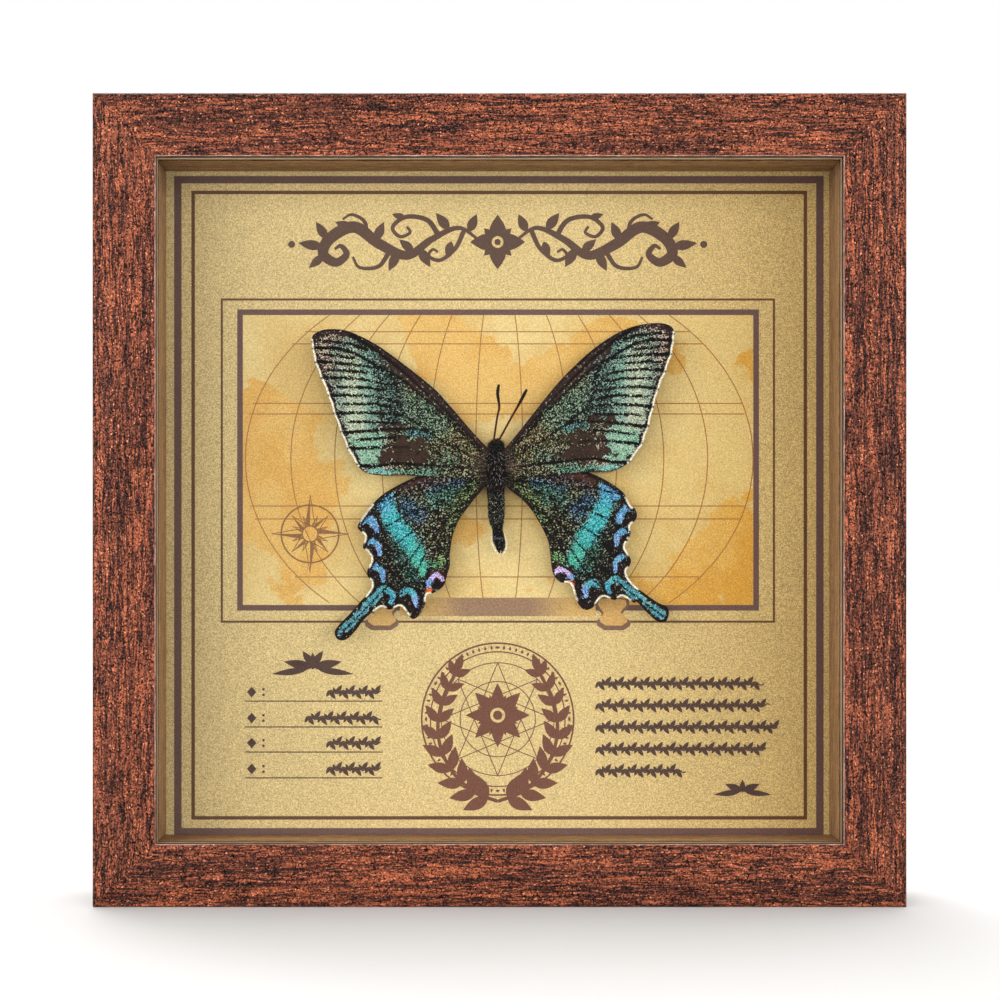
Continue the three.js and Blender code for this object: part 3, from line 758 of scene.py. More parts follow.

# The gold face sparkles: grains of a quarter of a millimetre that differ in tone. A painted sheen makes the
# middle of the sheet lighter and its sides darker; towards the right it is more bronze, and darker there by a
# little painted shade.
sparkle, given, out = group(
    "gold_sparkle_and_painted_sheen",
    {"Vector": "Vector", "Color": "Color", "Amount": "Float"},
    {"Color": "Color", "Height": "Float"},
)
_, chance = cellular(sparkle, stretched(sparkle, given["Vector"], (1, 0, 1)), 4000.0)
cloud = grain(sparkle, given["Vector"], 24.0, 3.0, 0.5)
place = add(sparkle, "ShaderNodeSeparateXYZ", {0: given["Vector"]}).outputs
# Painted sheen: the face is darker towards the left and right sides of the sheet.
painted_sheen_sides = sums(sparkle, "ABSOLUTE", plus(sparkle, place["X"], 4 * MM))
painted_sheen_sides = stepped(sparkle, painted_sheen_sides, 18 * MM, 86 * MM)
speckle = grain(sparkle, given["Vector"], 2600.0, 2.0, 0.7)
lift = plus(sparkle, times(sparkle, speckle, 1.5), times(sparkle, chance["Red"], 0.8))
lift = times(sparkle, minus(sparkle, lift, 1.15), given["Amount"])
lift = plus(sparkle, lift, times(sparkle, minus(sparkle, cloud, 0.5), 0.12))
lift = minus(sparkle, lift, times(sparkle, painted_sheen_sides, 0.235))
lift = plus(sparkle, lift, 1.005)
# More bronze towards the right, where a little painted shade also darkens it.
bronze = stepped(sparkle, place["X"], 10 * MM, 86 * MM)
lift = minus(sparkle, lift, times(sparkle, bronze, 0.05))
warm = {"Hue": 0.492, "Saturation": 1.16, "Color": given["Color"]}
warm = add(sparkle, "ShaderNodeHueSaturation", warm).outputs[0]
toned = blended(sparkle, bronze, given["Color"], warm)
pale = minus(sparkle, 1.45, times(sparkle, speckle, 0.9))
toned = {"Saturation": pale, "Value": lift, "Color": toned}
toned = add(sparkle, "ShaderNodeHueSaturation", toned).outputs[0]
sparkle.links.new(toned, out["Color"])
sparkle.links.new(chance["Green"], out["Height"])


def ink_material(name, shade, amount, roughness=0.6, metallic=0.0):
    material, tree, shader = new_material(name)
    inputs = {"Vector": own_place(tree), "Color": colour(*shade), "Amount": amount}
    face = add(tree, "ShaderNodeGroup", inputs, node_tree=sparkle)
    feed(tree, shader, Base_Color=face.outputs["Color"], Roughness=roughness, Metallic=metallic)
    bumped(tree, shader, face.outputs["Height"], 0.02 * MM, 0.6)
    return material, tree, face.inputs["Color"]


for ink, finish in inks_used.items():
    material, tree, printed = ink_material(f"card_{ink}", *finish)
    card.data.materials.append(material)
    if ink == "panel":
        # Lands of an invented map: soft orange shapes with ragged shores, on a mottled paler ground.
        inputs = {"Vector": own_place(tree), "Location": (0.93, 0, 0.74)}
        moved = add(tree, "ShaderNodeMapping", inputs).outputs[0]
        shores = grain(tree, stretched(tree, moved, (1, 0, 1.25)), 27.0, 9.0, 0.56)
        lands = times(tree, stepped(tree, shores, 0.525, 0.54), 0.85)
        hills = stepped(tree, grain(tree, moved, 75.0, 5.0, 0.6), 0.42, 0.62)
        mottle = stepped(tree, grain(tree, moved, 34.0, 6.0, 0.65), 0.38, 0.62)
        sea = blended(tree, mottle, colour(220, 186, 116), colour(230, 204, 140))
        land = blended(tree, hills, colour(222, 170, 84), colour(228, 184, 104))
        put(tree, blended(tree, lands, sea, land), printed)
    if ink == "shade":
        # The bar is darkest in the middle and fades into the gold at its ends.
        place = add(tree, "ShaderNodeSeparateXYZ", {0: own_place(tree)}).outputs
        fade = stepped(tree, sums(tree, "ABSOLUTE", place["X"]), 7 * MM, 21 * MM)
        put(tree, blended(tree, fade, colour(*finish[0]), colour(216, 176, 108)), printed)
settle(card, "printed_card", "backing_card")

# ---------------------------------------------------------------------------- foam block
# A small block of white polyethylene foam, glued between the thorax and the card, which carries the
# butterfly clear of the card. Its cells show as fine pits.
foam_material, tree, shader = new_material("white_foam")
pits, _ = cellular(tree, own_place(tree), 2600.0)
white = blended(tree, stepped(tree, pits, 0.1, 0.7), colour(206, 202, 190), colour(240, 238, 230))
feed(tree, shader, Base_Color=white, Roughness=0.95)
bumped(tree, shader, pits, 0.12 * MM, 0.9)
foam = broken_block("foam_pad", *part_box("foam_block"), 0.3 * MM)
foam.data.materials.append(foam_material)
settle(foam, "foam", "foam_block")

# ---------------------------------------------------------------------------- thorax
# The furry thorax of a dried swallowtail, with its six thin legs folded underneath. It is black, with a few
# pale grey-pink hairs that are painted glints. Places on the butterfly are millimetres from the middle of the
# thorax.
BODY = np.array([-0.6, 0.0, 108.5])
thorax_axis = -0.9
rng = np.random.default_rng(5)


def shaped(name, profile, depth, middle, lean=lambda z: 0.0 * z, sides=40, rings=48):
    """A sphere drawn out to a body of elliptical sections. The profile holds heights and half widths."""
    bpy.ops.object.select_all(action="DESELECT")
    bpy.ops.mesh.primitive_uv_sphere_add(segments=sides, ring_count=rings, radius=1, location=(0, 0, 0))
    made = bpy.context.object
    made.name = made.data.name = name
    at = np.empty(len(made.data.vertices) * 3)
    made.data.vertices.foreach_get("co", at)
    at = at.reshape(-1, 3)
    heights, widths = np.array(profile).T
    down = np.arccos(np.clip(at[:, 2], -1, 1)) / math.pi
    way = at[:, :2] / np.maximum(np.hypot(at[:, 0], at[:, 1]), 1e-9)[:, None]
    along = heights[-1] + (heights[0] - heights[-1]) * down
    wide = np.interp(along, heights, widths) * (np.hypot(at[:, 0], at[:, 1]) > 1e-6)
    x = way[:, 0] * wide + lean(along) + middle[0]
    y = way[:, 1] * wide * depth + middle[1]
    moved = (np.stack([x, y, along + middle[2]], 1) + BODY) * MM
    made.data.vertices.foreach_set("co", moved.ravel())
    made.data.update()
    bpy.ops.object.shade_smooth()
    return made


def spline(points, spacing):
    """A smooth line through the points, in steps of about the spacing."""
    points = np.array(points, float)
    last = len(points) - 1
    line = []
    for i in range(last):
        before, a, b, after = (points[k] for k in (max(i - 1, 0), i, i + 1, min(i + 2, last)))
        steps = max(2, math.ceil(np.linalg.norm(b - a) / spacing))
        t = np.arange(steps)[:, None] / steps
        out_a, out_b = (b - before) / 2, (after - a) / 2
        cube, square = 2 * (a - b) + out_a + out_b, 3 * (b - a) - 2 * out_a - out_b
        line.append(cube * t**3 + square * t**2 + out_a * t + a)
    return np.vstack([*line, points[-1:]])


def rod(name, points, radii, spacing=0.3, ring=3, pulse=0.0):
    """A thin round rod through the points. A pulse gives it the ridges of its segments."""
    line = spline(points, spacing)
    share = np.linspace(0, 1, len(line))
    radius = np.interp(share, np.linspace(0, 1, len(radii)), radii)
    radius *= 1 - pulse * (np.arange(len(line)) % 2)
    path = bpy.data.curves.new(name, "CURVE")
    path.dimensions = "3D"
    path.bevel_depth = MM
    path.bevel_resolution = ring
    path.use_fill_caps = True
    strand = path.splines.new("POLY")
    strand.points.add(len(line) - 1)
    for point, at, size in zip(strand.points, (line + BODY) * MM, radius):
        point.co = (*at, 1)
        point.radius = size
    made = bpy.data.objects.new(name, path)
    bpy.context.collection.objects.link(made)
    only(made)
    bpy.ops.object.convert(target="MESH")
    made = bpy.context.object
    bpy.ops.object.mode_set(mode="EDIT")
    bpy.ops.mesh.select_all(action="SELECT")
    bpy.ops.mesh.remove_doubles(threshold=merge_distance)
    bpy.ops.mesh.normals_make_consistent(inside=False)
    bpy.ops.object.mode_set(mode="OBJECT")
    bpy.ops.object.shade_smooth()
    return made


def joined(name, *pieces):
    only(*pieces)
    bpy.ops.object.join()
    made = bpy.context.object
    made.name = made.data.name = name
    return made


def spikes(name, feet, ways, lengths, widths):
    """Thin three-sided hairs, each a closed solid, from feet in the butterfly's millimetres."""
    ways = ways / np.linalg.norm(ways, axis=1, keepdims=True)
    across = np.cross(ways, rng.normal(size=ways.shape))
    across /= np.linalg.norm(across, axis=1, keepdims=True)
    other = np.cross(ways, across)
    corners = []
    for turn in (0, 2 * math.pi / 3, 4 * math.pi / 3):
        corners.append(feet + widths[:, None] / 2 * (math.cos(turn) * across + math.sin(turn) * other))
    corners.append(feet + ways * lengths[:, None])
    at = (np.stack(corners, 1).reshape(-1, 3) + BODY) * MM
    first = np.arange(len(feet))[:, None, None] * 4
    faces = (first + np.array([[0, 1, 3], [1, 2, 3], [2, 0, 3], [2, 1, 0]])).reshape(-1, 3)
    return built(name, at, faces)


def dye(made, name, values):
    """Stores a colour and an alpha for each vertex."""
    values = np.broadcast_to(np.asarray(values, float), (len(made.data.vertices), 4))
    layer = made.data.attributes.new(name, "FLOAT_COLOR", "POINT")
    layer.data.foreach_set("color", values.ravel())


def dyed(made, ground, tint):
    """Gives the whole piece one ground and one tint."""
    dye(made, "ground", tone(*ground))
    dye(made, "tint", tone(*tint))
    return made


def dyed_hairs(name, feet, ways, lengths, widths, tones):
    """Hairs that are each dyed with one of the tones, picked at random: (colour, share)."""
    hairs = spikes(name, feet, ways, lengths, widths)
    shades = np.array([tone(*shade) for shade, _ in tones])
    shares = np.array([share for _, share in tones], float)
    picked = shades[rng.choice(len(tones), len(feet), p=shares / shares.sum())]
    dye(hairs, "tint", (0, 0, 0, 0))
    dye(hairs, "ground", np.repeat(picked, 4, axis=0))
    return hairs


def coat(made, count, length, width, droop, spread, tones):
    """Hairs all over a smooth body, combed backwards by the droop and ruffled by the spread."""
    at = np.array([v.co for v in made.data.vertices]) / MM - BODY
    out = np.array([v.normal for v in made.data.vertices])
    # Blender lists the faces of a sphere in another order on each run, so they are sorted before hairs are set.
    faces = []
    for face in made.data.polygons:
        loop = list(face.vertices)
        first = loop.index(min(loop))
        loop = loop[first:] + loop[:first]
        faces += [(loop[0], b, c) for b, c in zip(loop[1:], loop[2:])]
    faces = np.array(sorted(faces))
    a, b, c = at[faces[:, 0]], at[faces[:, 1]], at[faces[:, 2]]
    area = np.linalg.norm(np.cross(b - a, c - a), axis=1)
    pick_face = rng.choice(len(faces), count, p=area / area.sum())
    u, v = rng.random((2, count, 1))
    flip = (u + v) > 1
    u, v = np.where(flip, 1 - u, u), np.where(flip, 1 - v, v)
    feet = a[pick_face] + (b - a)[pick_face] * u + (c - a)[pick_face] * v
    normal = out[faces[pick_face, 0]]
    ways = normal + np.array([0, 0, -droop]) + rng.normal(size=(count, 3)) * spread
    lengths = length * rng.uniform(0.5, 1.15, count)
    widths = width * rng.uniform(0.6, 1.2, count)
    return dyed_hairs(made.name + "_hairs", feet - normal * 0.08, ways, lengths, widths, tones)


# Fur and scales of the body: a dark ground with finely sprinkled paler scales, as the tint's alpha says.
scales, given, out = group(
    "insect_scales",
    {"Vector": "Vector", "Size": "Float", "Tint": "Color", "Cover": "Float", "Ground": "Color"},
    {"Color": "Color", "Roughness": "Float", "Height": "Float"},
)
distance, chance = cellular(scales, given["Vector"], given["Size"])
lies = times(scales, minus(scales, given["Cover"], chance["Red"]), 9.0)
lies = plus(scales, lies, 0.5, clamp=True)
uneven = minus(scales, 2.5, times(scales, given["Cover"], 1.3))
bright = times(scales, minus(scales, chance["Green"], 0.5), uneven)
bright = plus(scales, bright, 1.0)
turned = times(scales, minus(scales, chance["Blue"], 0.5), times(scales, uneven, 0.1))
turned = plus(scales, turned, 0.5)
faded = plus(scales, times(scales, chance["Green"], -0.6), 1.3)
tinted = {"Hue": turned, "Saturation": faded, "Value": bright, "Color": given["Tint"]}
tinted = add(scales, "ShaderNodeHueSaturation", tinted).outputs[0]
dim = plus(scales, times(scales, chance["Blue"], 0.7), 0.6)
dark = add(scales, "ShaderNodeHueSaturation", {"Value": dim, "Color": given["Ground"]}).outputs[0]
scales.links.new(blended(scales, lies, dark, tinted), out["Color"])
scales.links.new(minus(scales, 0.72, times(scales, lies, 0.22)), out["Roughness"])
dome = minus(scales, 1.0, distance)
scales.links.new(plus(scales, dome, times(scales, lies, 0.5)), out["Height"])


def scale_material(name, size, relief, gloss, squash=(1, 1, 1)):
    material, tree, shader = new_material(name)
    tint = add(tree, "ShaderNodeAttribute", attribute_name="tint").outputs
    ground = add(tree, "ShaderNodeAttribute", attribute_name="ground").outputs
    inputs = {"Vector": stretched(tree, own_place(tree), squash), "Size": size}
    inputs.update({"Tint": tint["Color"], "Cover": tint["Alpha"], "Ground": ground["Color"]})
    cover = add(tree, "ShaderNodeGroup", inputs, node_tree=scales)
    feed(tree, shader, Base_Color=cover.outputs["Color"], Roughness=cover.outputs["Roughness"])
    shader.inputs["Specular IOR Level"].default_value = gloss
    bumped(tree, shader, cover.outputs["Height"], relief, 0.7)
    return material


def tone(red, green, blue, alpha=0.0):
    """A colour as it looks on a screen, and the alpha that a dye stores with it."""
    return (*colour(red, green, blue)[:3], alpha)


body_material = scale_material("body_fur", 5200.0, 0.05 * MM, 0.08)
thorax_profile = [
    (-5.4, 0), (-5.3, 1.1), (-4.5, 1.95), (-2.6, 2.6), (-0.6, 2.8), (1.4, 2.7), (3.0, 2.35), (4.0, 1.9),
    (4.8, 1.3), (5.1, 0),
]
thorax_middle = (0, thorax_axis, 0)
thorax = shaped("furry_thorax", thorax_profile, 0.94, thorax_middle)
dyed(thorax, (10, 8, 8), (80, 76, 72, 0.05))
# The palest of these hairs are painted glints.
fur = coat(
    thorax, 5200, 1.15, 0.12, droop=0.9, spread=0.45,
    tones=[((8, 7, 7), 80), ((24, 18, 17), 12), ((100, 86, 84), 4), ((204, 186, 180), 4)],
)
# A coat of pale hairs painted as glints on the black fur.
glints = coat(
    thorax, 230, 0.8, 0.26, droop=1.3, spread=0.3,
    tones=[((236, 224, 216), 4), ((128, 138, 128), 3), ((168, 132, 126), 3)],
)
# A tuft at its hind end hangs over the root of the abdomen.
count = 700
angle = rng.uniform(0, 2 * math.pi, count)
height = rng.uniform(-5.0, -3.6, count)
feet = np.stack([1.6 * np.cos(angle), thorax_axis + 1.6 * np.sin(angle), height], 1)
ways = np.stack([0.28 * np.cos(angle), 0.2 * np.sin(angle), np.full(count, -1.0)], 1)
ways += rng.normal(0, 0.14, (count, 3))
tones = [((18, 14, 14), 0.62), ((46, 34, 30), 0.28), ((112, 92, 84), 0.1)]
tuft = dyed_hairs("tuft", feet, ways, rng.uniform(1.2, 2.6, count), np.full(count, 0.11), tones)
# Longer hairs spread from the thorax over the roots of the wings.
count = 520
sides = rng.choice((-1, 1), count)
height = rng.uniform(-4.2, 3.8, count)
feet = np.stack([sides * rng.uniform(2.1, 2.8, count), np.full(count, thorax_axis - 1.7), height], 1)
ways = np.stack([sides, rng.uniform(-0.25, 0.02, count), height * 0.13 + rng.normal(0, 0.22, count)], 1)
tones = [((26, 19, 18), 0.66), ((64, 48, 42), 0.2), ((150, 118, 112), 0.07), ((100, 96, 70), 0.07)]
long_hairs = dyed_hairs("long_hairs", feet, ways, rng.uniform(1.2, 3.6, count), np.full(count, 0.1), tones)

legs = []
for side in (-1, 1):
    for leg in (
        [(0.9, 0.9, 3.2), (2.1, 2.4, 5.2), (1.4, 3.8, 4.0), (1.1, 4.6, 6.2)],
        [(1.2, 1.0, 0.2), (2.3, 2.6, -0.8), (2.2, 4.0, -3.8), (1.9, 4.7, -7.4)],
        [(1.1, 1.0, -2.2), (1.9, 2.7, -4.4), (1.2, 3.9, -7.8), (0.9, 4.6, -12.4)],
    ):
        joints = [(side * x, y + thorax_axis, z) for x, y, z in leg]
        limb = rod("leg", joints, [0.4, 0.34, 0.2, 0.13], spacing=0.5)
        legs.append(dyed(limb, (30, 24, 22), (90, 84, 80, 0.05)))
# Fine pink-grey and gold hairs fan out over the wing roots.
count = 80
sides = rng.choice((-1, 1), count)
rise = rng.uniform(-0.2, 0.62, count)
feet = np.stack([sides * rng.uniform(2.4, 2.9, count), np.full(count, thorax_axis - 1.75), rise * 3.6], 1)
ways = np.stack([sides, rng.uniform(-0.06, 0.0, count), rise + rng.normal(0, 0.05, count)], 1)
tones = [((40, 28, 28), 0.4), ((158, 122, 120), 0.38), ((128, 118, 88), 0.22)]
fan = dyed_hairs("fan_hairs", feet, ways, rng.uniform(2.6, 6.2, count), np.full(count, 0.085), tones)
thorax = joined("furry_thorax", thorax, fur, glints, tuft, long_hairs, fan, *legs)
thorax.data.materials.append(body_material)
settle(thorax, "insect_body", "thorax")

# ---------------------------------------------------------------------------- head
# The head has bulging glossy eyes at its sides, two furry palps, and the tongue rolled up underneath. Short
# dark hairs stand up between the antennae, some with a blue-green glint.
head_x, head_z = 0.1, 5.5
skull_profile = [(-1.35, 0), (-1.1, 0.9), (-0.4, 1.5), (0.4, 1.55), (1.1, 1.0), (1.4, 0)]
skull = shaped("furry_head", skull_profile, 0.95, (head_x, thorax_axis, head_z), sides=32, rings=24)
dyed(skull, (17, 14, 14), (50, 100, 96, 0.1))
crest = coat(
    skull, 2800, 1.15, 0.1, droop=0.0, spread=0.6,
    tones=[((14, 12, 12), 70), ((32, 27, 26), 16), ((40, 88, 90), 9), ((116, 120, 100), 4)],
)
head_parts = [skull, crest]
for side in (-1, 1):
    palp = [(0.45, 0.6, 0.6), (0.5, 0.9, 1.4), (0.45, 0.5, 2.1)]
    palp = [(head_x + side * x, thorax_axis + y, head_z + z) for x, y, z in palp]
    head_parts.append(dyed(rod("palp", palp, [0.4, 0.42, 0.2]), (26, 22, 22), (110, 106, 96, 0.15)))
turns = np.linspace(0, 2.6 * 2 * math.pi, 60)
reach = 0.2 + 0.03 * turns
coil_x = np.full(len(turns), head_x)
coil = np.stack([coil_x, thorax_axis + 1.45 + reach * np.cos(turns), 6.0 + reach * np.sin(turns)], 1)
tongue = rod("tongue", coil, [0.1, 0.15], spacing=1.0)
head_parts.append(dyed(tongue, (40, 28, 22), (40, 28, 22)))
head = joined("furry_head", *head_parts)
head.data.materials.append(body_material)

eye_material, tree, shader = new_material("compound_eye")
facets, _ = cellular(tree, own_place(tree), 9000.0)
tint = blended(tree, facets, colour(20, 18, 20), colour(48, 40, 38))
feed(tree, shader, Base_Color=tint, Roughness=0.22)
bumped(tree, shader, facets, 0.02 * MM, 0.5)
eyes = []
for side in (-1, 1):
    bpy.ops.object.select_all(action="DESELECT")
    middle = (BODY + np.array([head_x + side * 0.95, thorax_axis - 0.1, head_z + 0.15])) * MM
    bpy.ops.mesh.primitive_ico_sphere_add(subdivisions=4, radius=0.86 * MM, location=middle)
    bpy.ops.object.transform_apply(location=True, rotation=True, scale=True)
    bpy.ops.object.shade_smooth()
    eye = bpy.context.object
    eye.data.materials.append(eye_material)
    eyes.append(eye)
head = joined("furry_head", head, *eyes)
settle(head, "insect_body", "head")

# ---------------------------------------------------------------------------- abdomen
# A ringed abdomen of overlapping segments that narrows to a waist and ends in two claspers. Its black scales
# are sprinkled with green-grey ones, and the claspers have thin pale rims.
abdomen_profile = [
    (-21.0, 0), (-20.8, 0.5), (-19.6, 1.0), (-18.7, 1.42), (-18.5, 1.5), (-17.6, 1.53), (-17.4, 1.44),
    (-16.4, 1.42), (-16.2, 1.34), (-15.3, 1.28), (-14.6, 1.45), (-14.3, 1.62), (-13.6, 1.8), (-12.5, 1.93),
    (-12.2, 2.06), (-11.2, 2.05), (-10.4, 1.98), (-10.2, 2.14), (-9.2, 2.14), (-8.3, 2.06), (-8.1, 2.16),
    (-7.2, 2.02), (-6.0, 1.86), (-5.0, 1.5), (-4.4, 0.9), (-4.2, 0),
]


def abdomen_lean(z):
    return np.where(z < -13, 0.13 * (-13 - z), 0) + 0.1


abdomen = shaped("ringed_abdomen", abdomen_profile, 0.99, thorax_middle, abdomen_lean, sides=40, rings=110)
heights = np.array([v.co.z for v in abdomen.data.vertices]) / MM - BODY[2]
sprinkled = np.clip((heights + 15.5) / 2, 0, 1)[:, None]
cold = np.exp(-(((heights + 17.7) / 0.22) ** 2))[:, None]
black, grey = np.array(tone(12, 10, 10)), np.array(tone(84, 90, 104))
dye(abdomen, "ground", black * (1 - cold) + grey * cold)
green, dull = np.array(tone(150, 150, 128, 0.1)), np.array(tone(56, 58, 62, 0.05))
dye(abdomen, "tint", green * sprinkled + dull * (1 - sprinkled))
down = coat(
    abdomen, 4200, 0.42, 0.1, droop=1.5, spread=0.3,
    tones=[((10, 8, 8), 80), ((28, 21, 20), 13), ((118, 120, 100), 4), ((72, 78, 80), 3)],
)
# Short pale hairs: partly the abdomen's own pale specks, partly painted glints.
glints = coat(
    abdomen, 420, 0.36, 0.22, droop=1.5, spread=0.2,
    tones=[((208, 208, 184), 4), ((112, 134, 120), 3), ((110, 84, 74), 3)],
)
claspers = []
for side in (-1, 1):
    tip = float(abdomen_lean(-21.2))
    curl = [(0.72, 0.2, -18.6), (0.76, 0.1, -20.0), (0.2, 0.0, -21.4)]
    points = [(tip + side * x, thorax_axis + y, z) for x, y, z in curl]
    flap = dyed(rod("clasper", points, [0.5, 0.4, 0.14]), (34, 28, 27), (120, 112, 98, 0.2))
    edge = ((1.55, -0.3, -16.4), (1.85, -0.35, -18.4), (1.5, -0.4, -20.3), (0.45, -0.4, -21.9))
    edge = [(float(abdomen_lean(z)) + side * x, thorax_axis + y, z) for x, y, z in edge]
    rim = rod("clasper_rim", edge, [0.08, 0.18, 0.21, 0.13])
    dyed(rim, (250, 240, 212), (190, 170, 136, 0.1))
    claspers += [flap, rim]
abdomen = joined("ringed_abdomen", abdomen, down, glints, *claspers)
abdomen.data.materials.append(body_material)
settle(abdomen, "insect_body", "abdomen")

# ---------------------------------------------------------------------------- antennae
# Two fine ringed antennae that thicken to a club at the end. They are dark brown, and black at the club.
antenna_material, tree, shader = new_material("antenna_shell")
place = own_place(tree)
rise = add(tree, "ShaderNodeSeparateXYZ", {0: place}).outputs["Z"]
to_club = stepped(tree, rise, (BODY[2] + 13) * MM, (BODY[2] + 18) * MM)
tint = blended(tree, to_club, colour(84, 30, 16), colour(18, 11, 10))
tint = blended(tree, stepped(tree, grain(tree, place, 5200.0), 0.4, 0.75), tint, colour(30, 16, 13))
feed(tree, shader, Base_Color=tint, Roughness=0.6, Specular_IOR_Level=0.2)
bumped(tree, shader, grain(tree, place, 9000.0), 0.02 * MM, 0.5)
feelers = {
    "left": [(-0.65, -1.9, 6.3), (0.3, -2.9, 12.8), (0.8, -3.2, 15.3), (0.4, -3.3, 18.6), (0.7, -3.2, 20.9)],
    "right": [(0.35, -1.9, 6.3), (3.7, -2.9, 12.4), (5.8, -3.2, 16.1), (7.7, -3.2, 19.7)],
}
for side, points in feelers.items():
    radii = [0.28, 0.27, 0.27, 0.27, 0.27, 0.28, 0.3, 0.34, 0.42, 0.45, 0.3]
    feeler = rod(f"ringed_antenna_{side}", points, radii, spacing=0.17, pulse=0.12)
    feeler.data.materials.append(antenna_material)
    settle(feeler, "antenna", f"antenna_{side}")

# ---------------------------------------------------------------------------- forewings
# Dry wing membranes, stiffened by thin dark veins and covered in scales like dust. The forewing is black with
# green dust, brown velvet near its hind edge, and an outer band of pale green streaks between the veins. Its
# outer edge is a row of shallow bays, each with a white fringe. The wing's marks are drawn for the left wing.
membrane = 0.2 * MM
mesh_spacing = 0.235


def bays(tips, depth):
    """A row of shallow bays between the ends of the veins."""
    line = []
    for a, b in zip(np.array(tips, float), np.array(tips[1:], float)):
        hollow = (a + b) / 2 + np.array([-np.sign(a[0]) * 2 * depth, 0])
        t = np.arange(16)[:, None] / 16
        line.append((1 - t) ** 2 * a + 2 * t * (1 - t) * hollow + t**2 * b)
    return np.vstack(line)


def even(line, spacing):
    """The same line, divided into equal steps."""
    run = np.concatenate([[0], np.cumsum(np.linalg.norm(np.diff(line, axis=0), axis=1))])
    steps = np.linspace(0, run[-1], max(2, round(run[-1] / spacing)) + 1)
    return np.stack([np.interp(steps, run, line[:, 0]), np.interp(steps, run, line[:, 1])], 1)


def nearest(at, line):
    """How far each point is from a line, and how far along it the nearest place is, from 0 to 1."""
    line = np.array(line, float)
    lengths = np.maximum(np.linalg.norm(np.diff(line, axis=0), axis=1), 1e-9)
    total, run = lengths.sum(), 0.0
    best, share = np.full(len(at), np.inf), np.zeros(len(at))
    for a, b, length in zip(line, line[1:], lengths):
        t = np.clip((at - a) @ (b - a) / length**2, 0, 1)
        gap = np.linalg.norm(at - a - t[:, None] * (b - a), axis=1)
        closer = gap < best
        best[closer] = gap[closer]
        share[closer] = (run + t[closer] * length) / total
        run += length
    return best, share


def fitted(pairs):
    """The smooth map that takes places on a left wing to those on the right one."""
    left, right = (np.array(side, float) for side in zip(*pairs))

    def terms(at):
        x, z = np.array(at, float).T / 40
        return np.stack([np.ones_like(x), x, z, x * x, x * z, z * z], 1)

    factors = np.linalg.lstsq(terms(left), right, rcond=None)[0]
    return lambda line: terms(line) @ factors


def wander(at, reach, seed):
    """Small smooth shifts that keep the marks from being too even."""
    sway = np.random.default_rng(seed)
    shift = np.zeros_like(at)
    for wave in (1.2, 1.9, 2.9, 4.3):
        for axis in (0, 1):
            way = sway.normal(size=2)
            way *= 2 * math.pi / wave / np.linalg.norm(way)
            shift[:, axis] += reach * wave / 4.3 * np.sin(at @ way + sway.uniform(0, 6.28))
    return at + shift


def near(distance, half, blur):
    """1 within the half width, falling to 0 over the blur."""
    t = np.clip((distance - half) / blur, 0, 1)
    return 1 - t * t * (3 - 2 * t)


class Marks:
    """The dust of scales on a wing: its tint and cover, and the ground under it, at each point.

    The marks are drawn for the left wing, and across takes them to the wing that they are for.
    """

    def __init__(self, at, across, ground, tint, cover):
        self.shifted, self.across = wander(at, 0.3, 3), across
        self.ground = np.tile(np.array(tone(*ground)[:3]), (len(at), 1))
        self.tint = np.tile(np.array(tone(*tint)[:3]), (len(at), 1))
        self.cover = np.full(len(at), float(cover))

    def lay(self, weight, ground=None, tint=None, cover=None):
        if ground is not None:
            self.ground += (np.array(tone(*ground)[:3]) - self.ground) * weight[:, None]
        if tint is not None:
            self.tint += (np.array(tone(*tint)[:3]) - self.tint) * weight[:, None]
        if cover is not None:
            self.cover += (cover - self.cover) * weight

    def along(self, line, half, blur, **finish):
        gap, _ = nearest(self.shifted, self.across(line))
        self.lay(near(gap, half, blur), **finish)


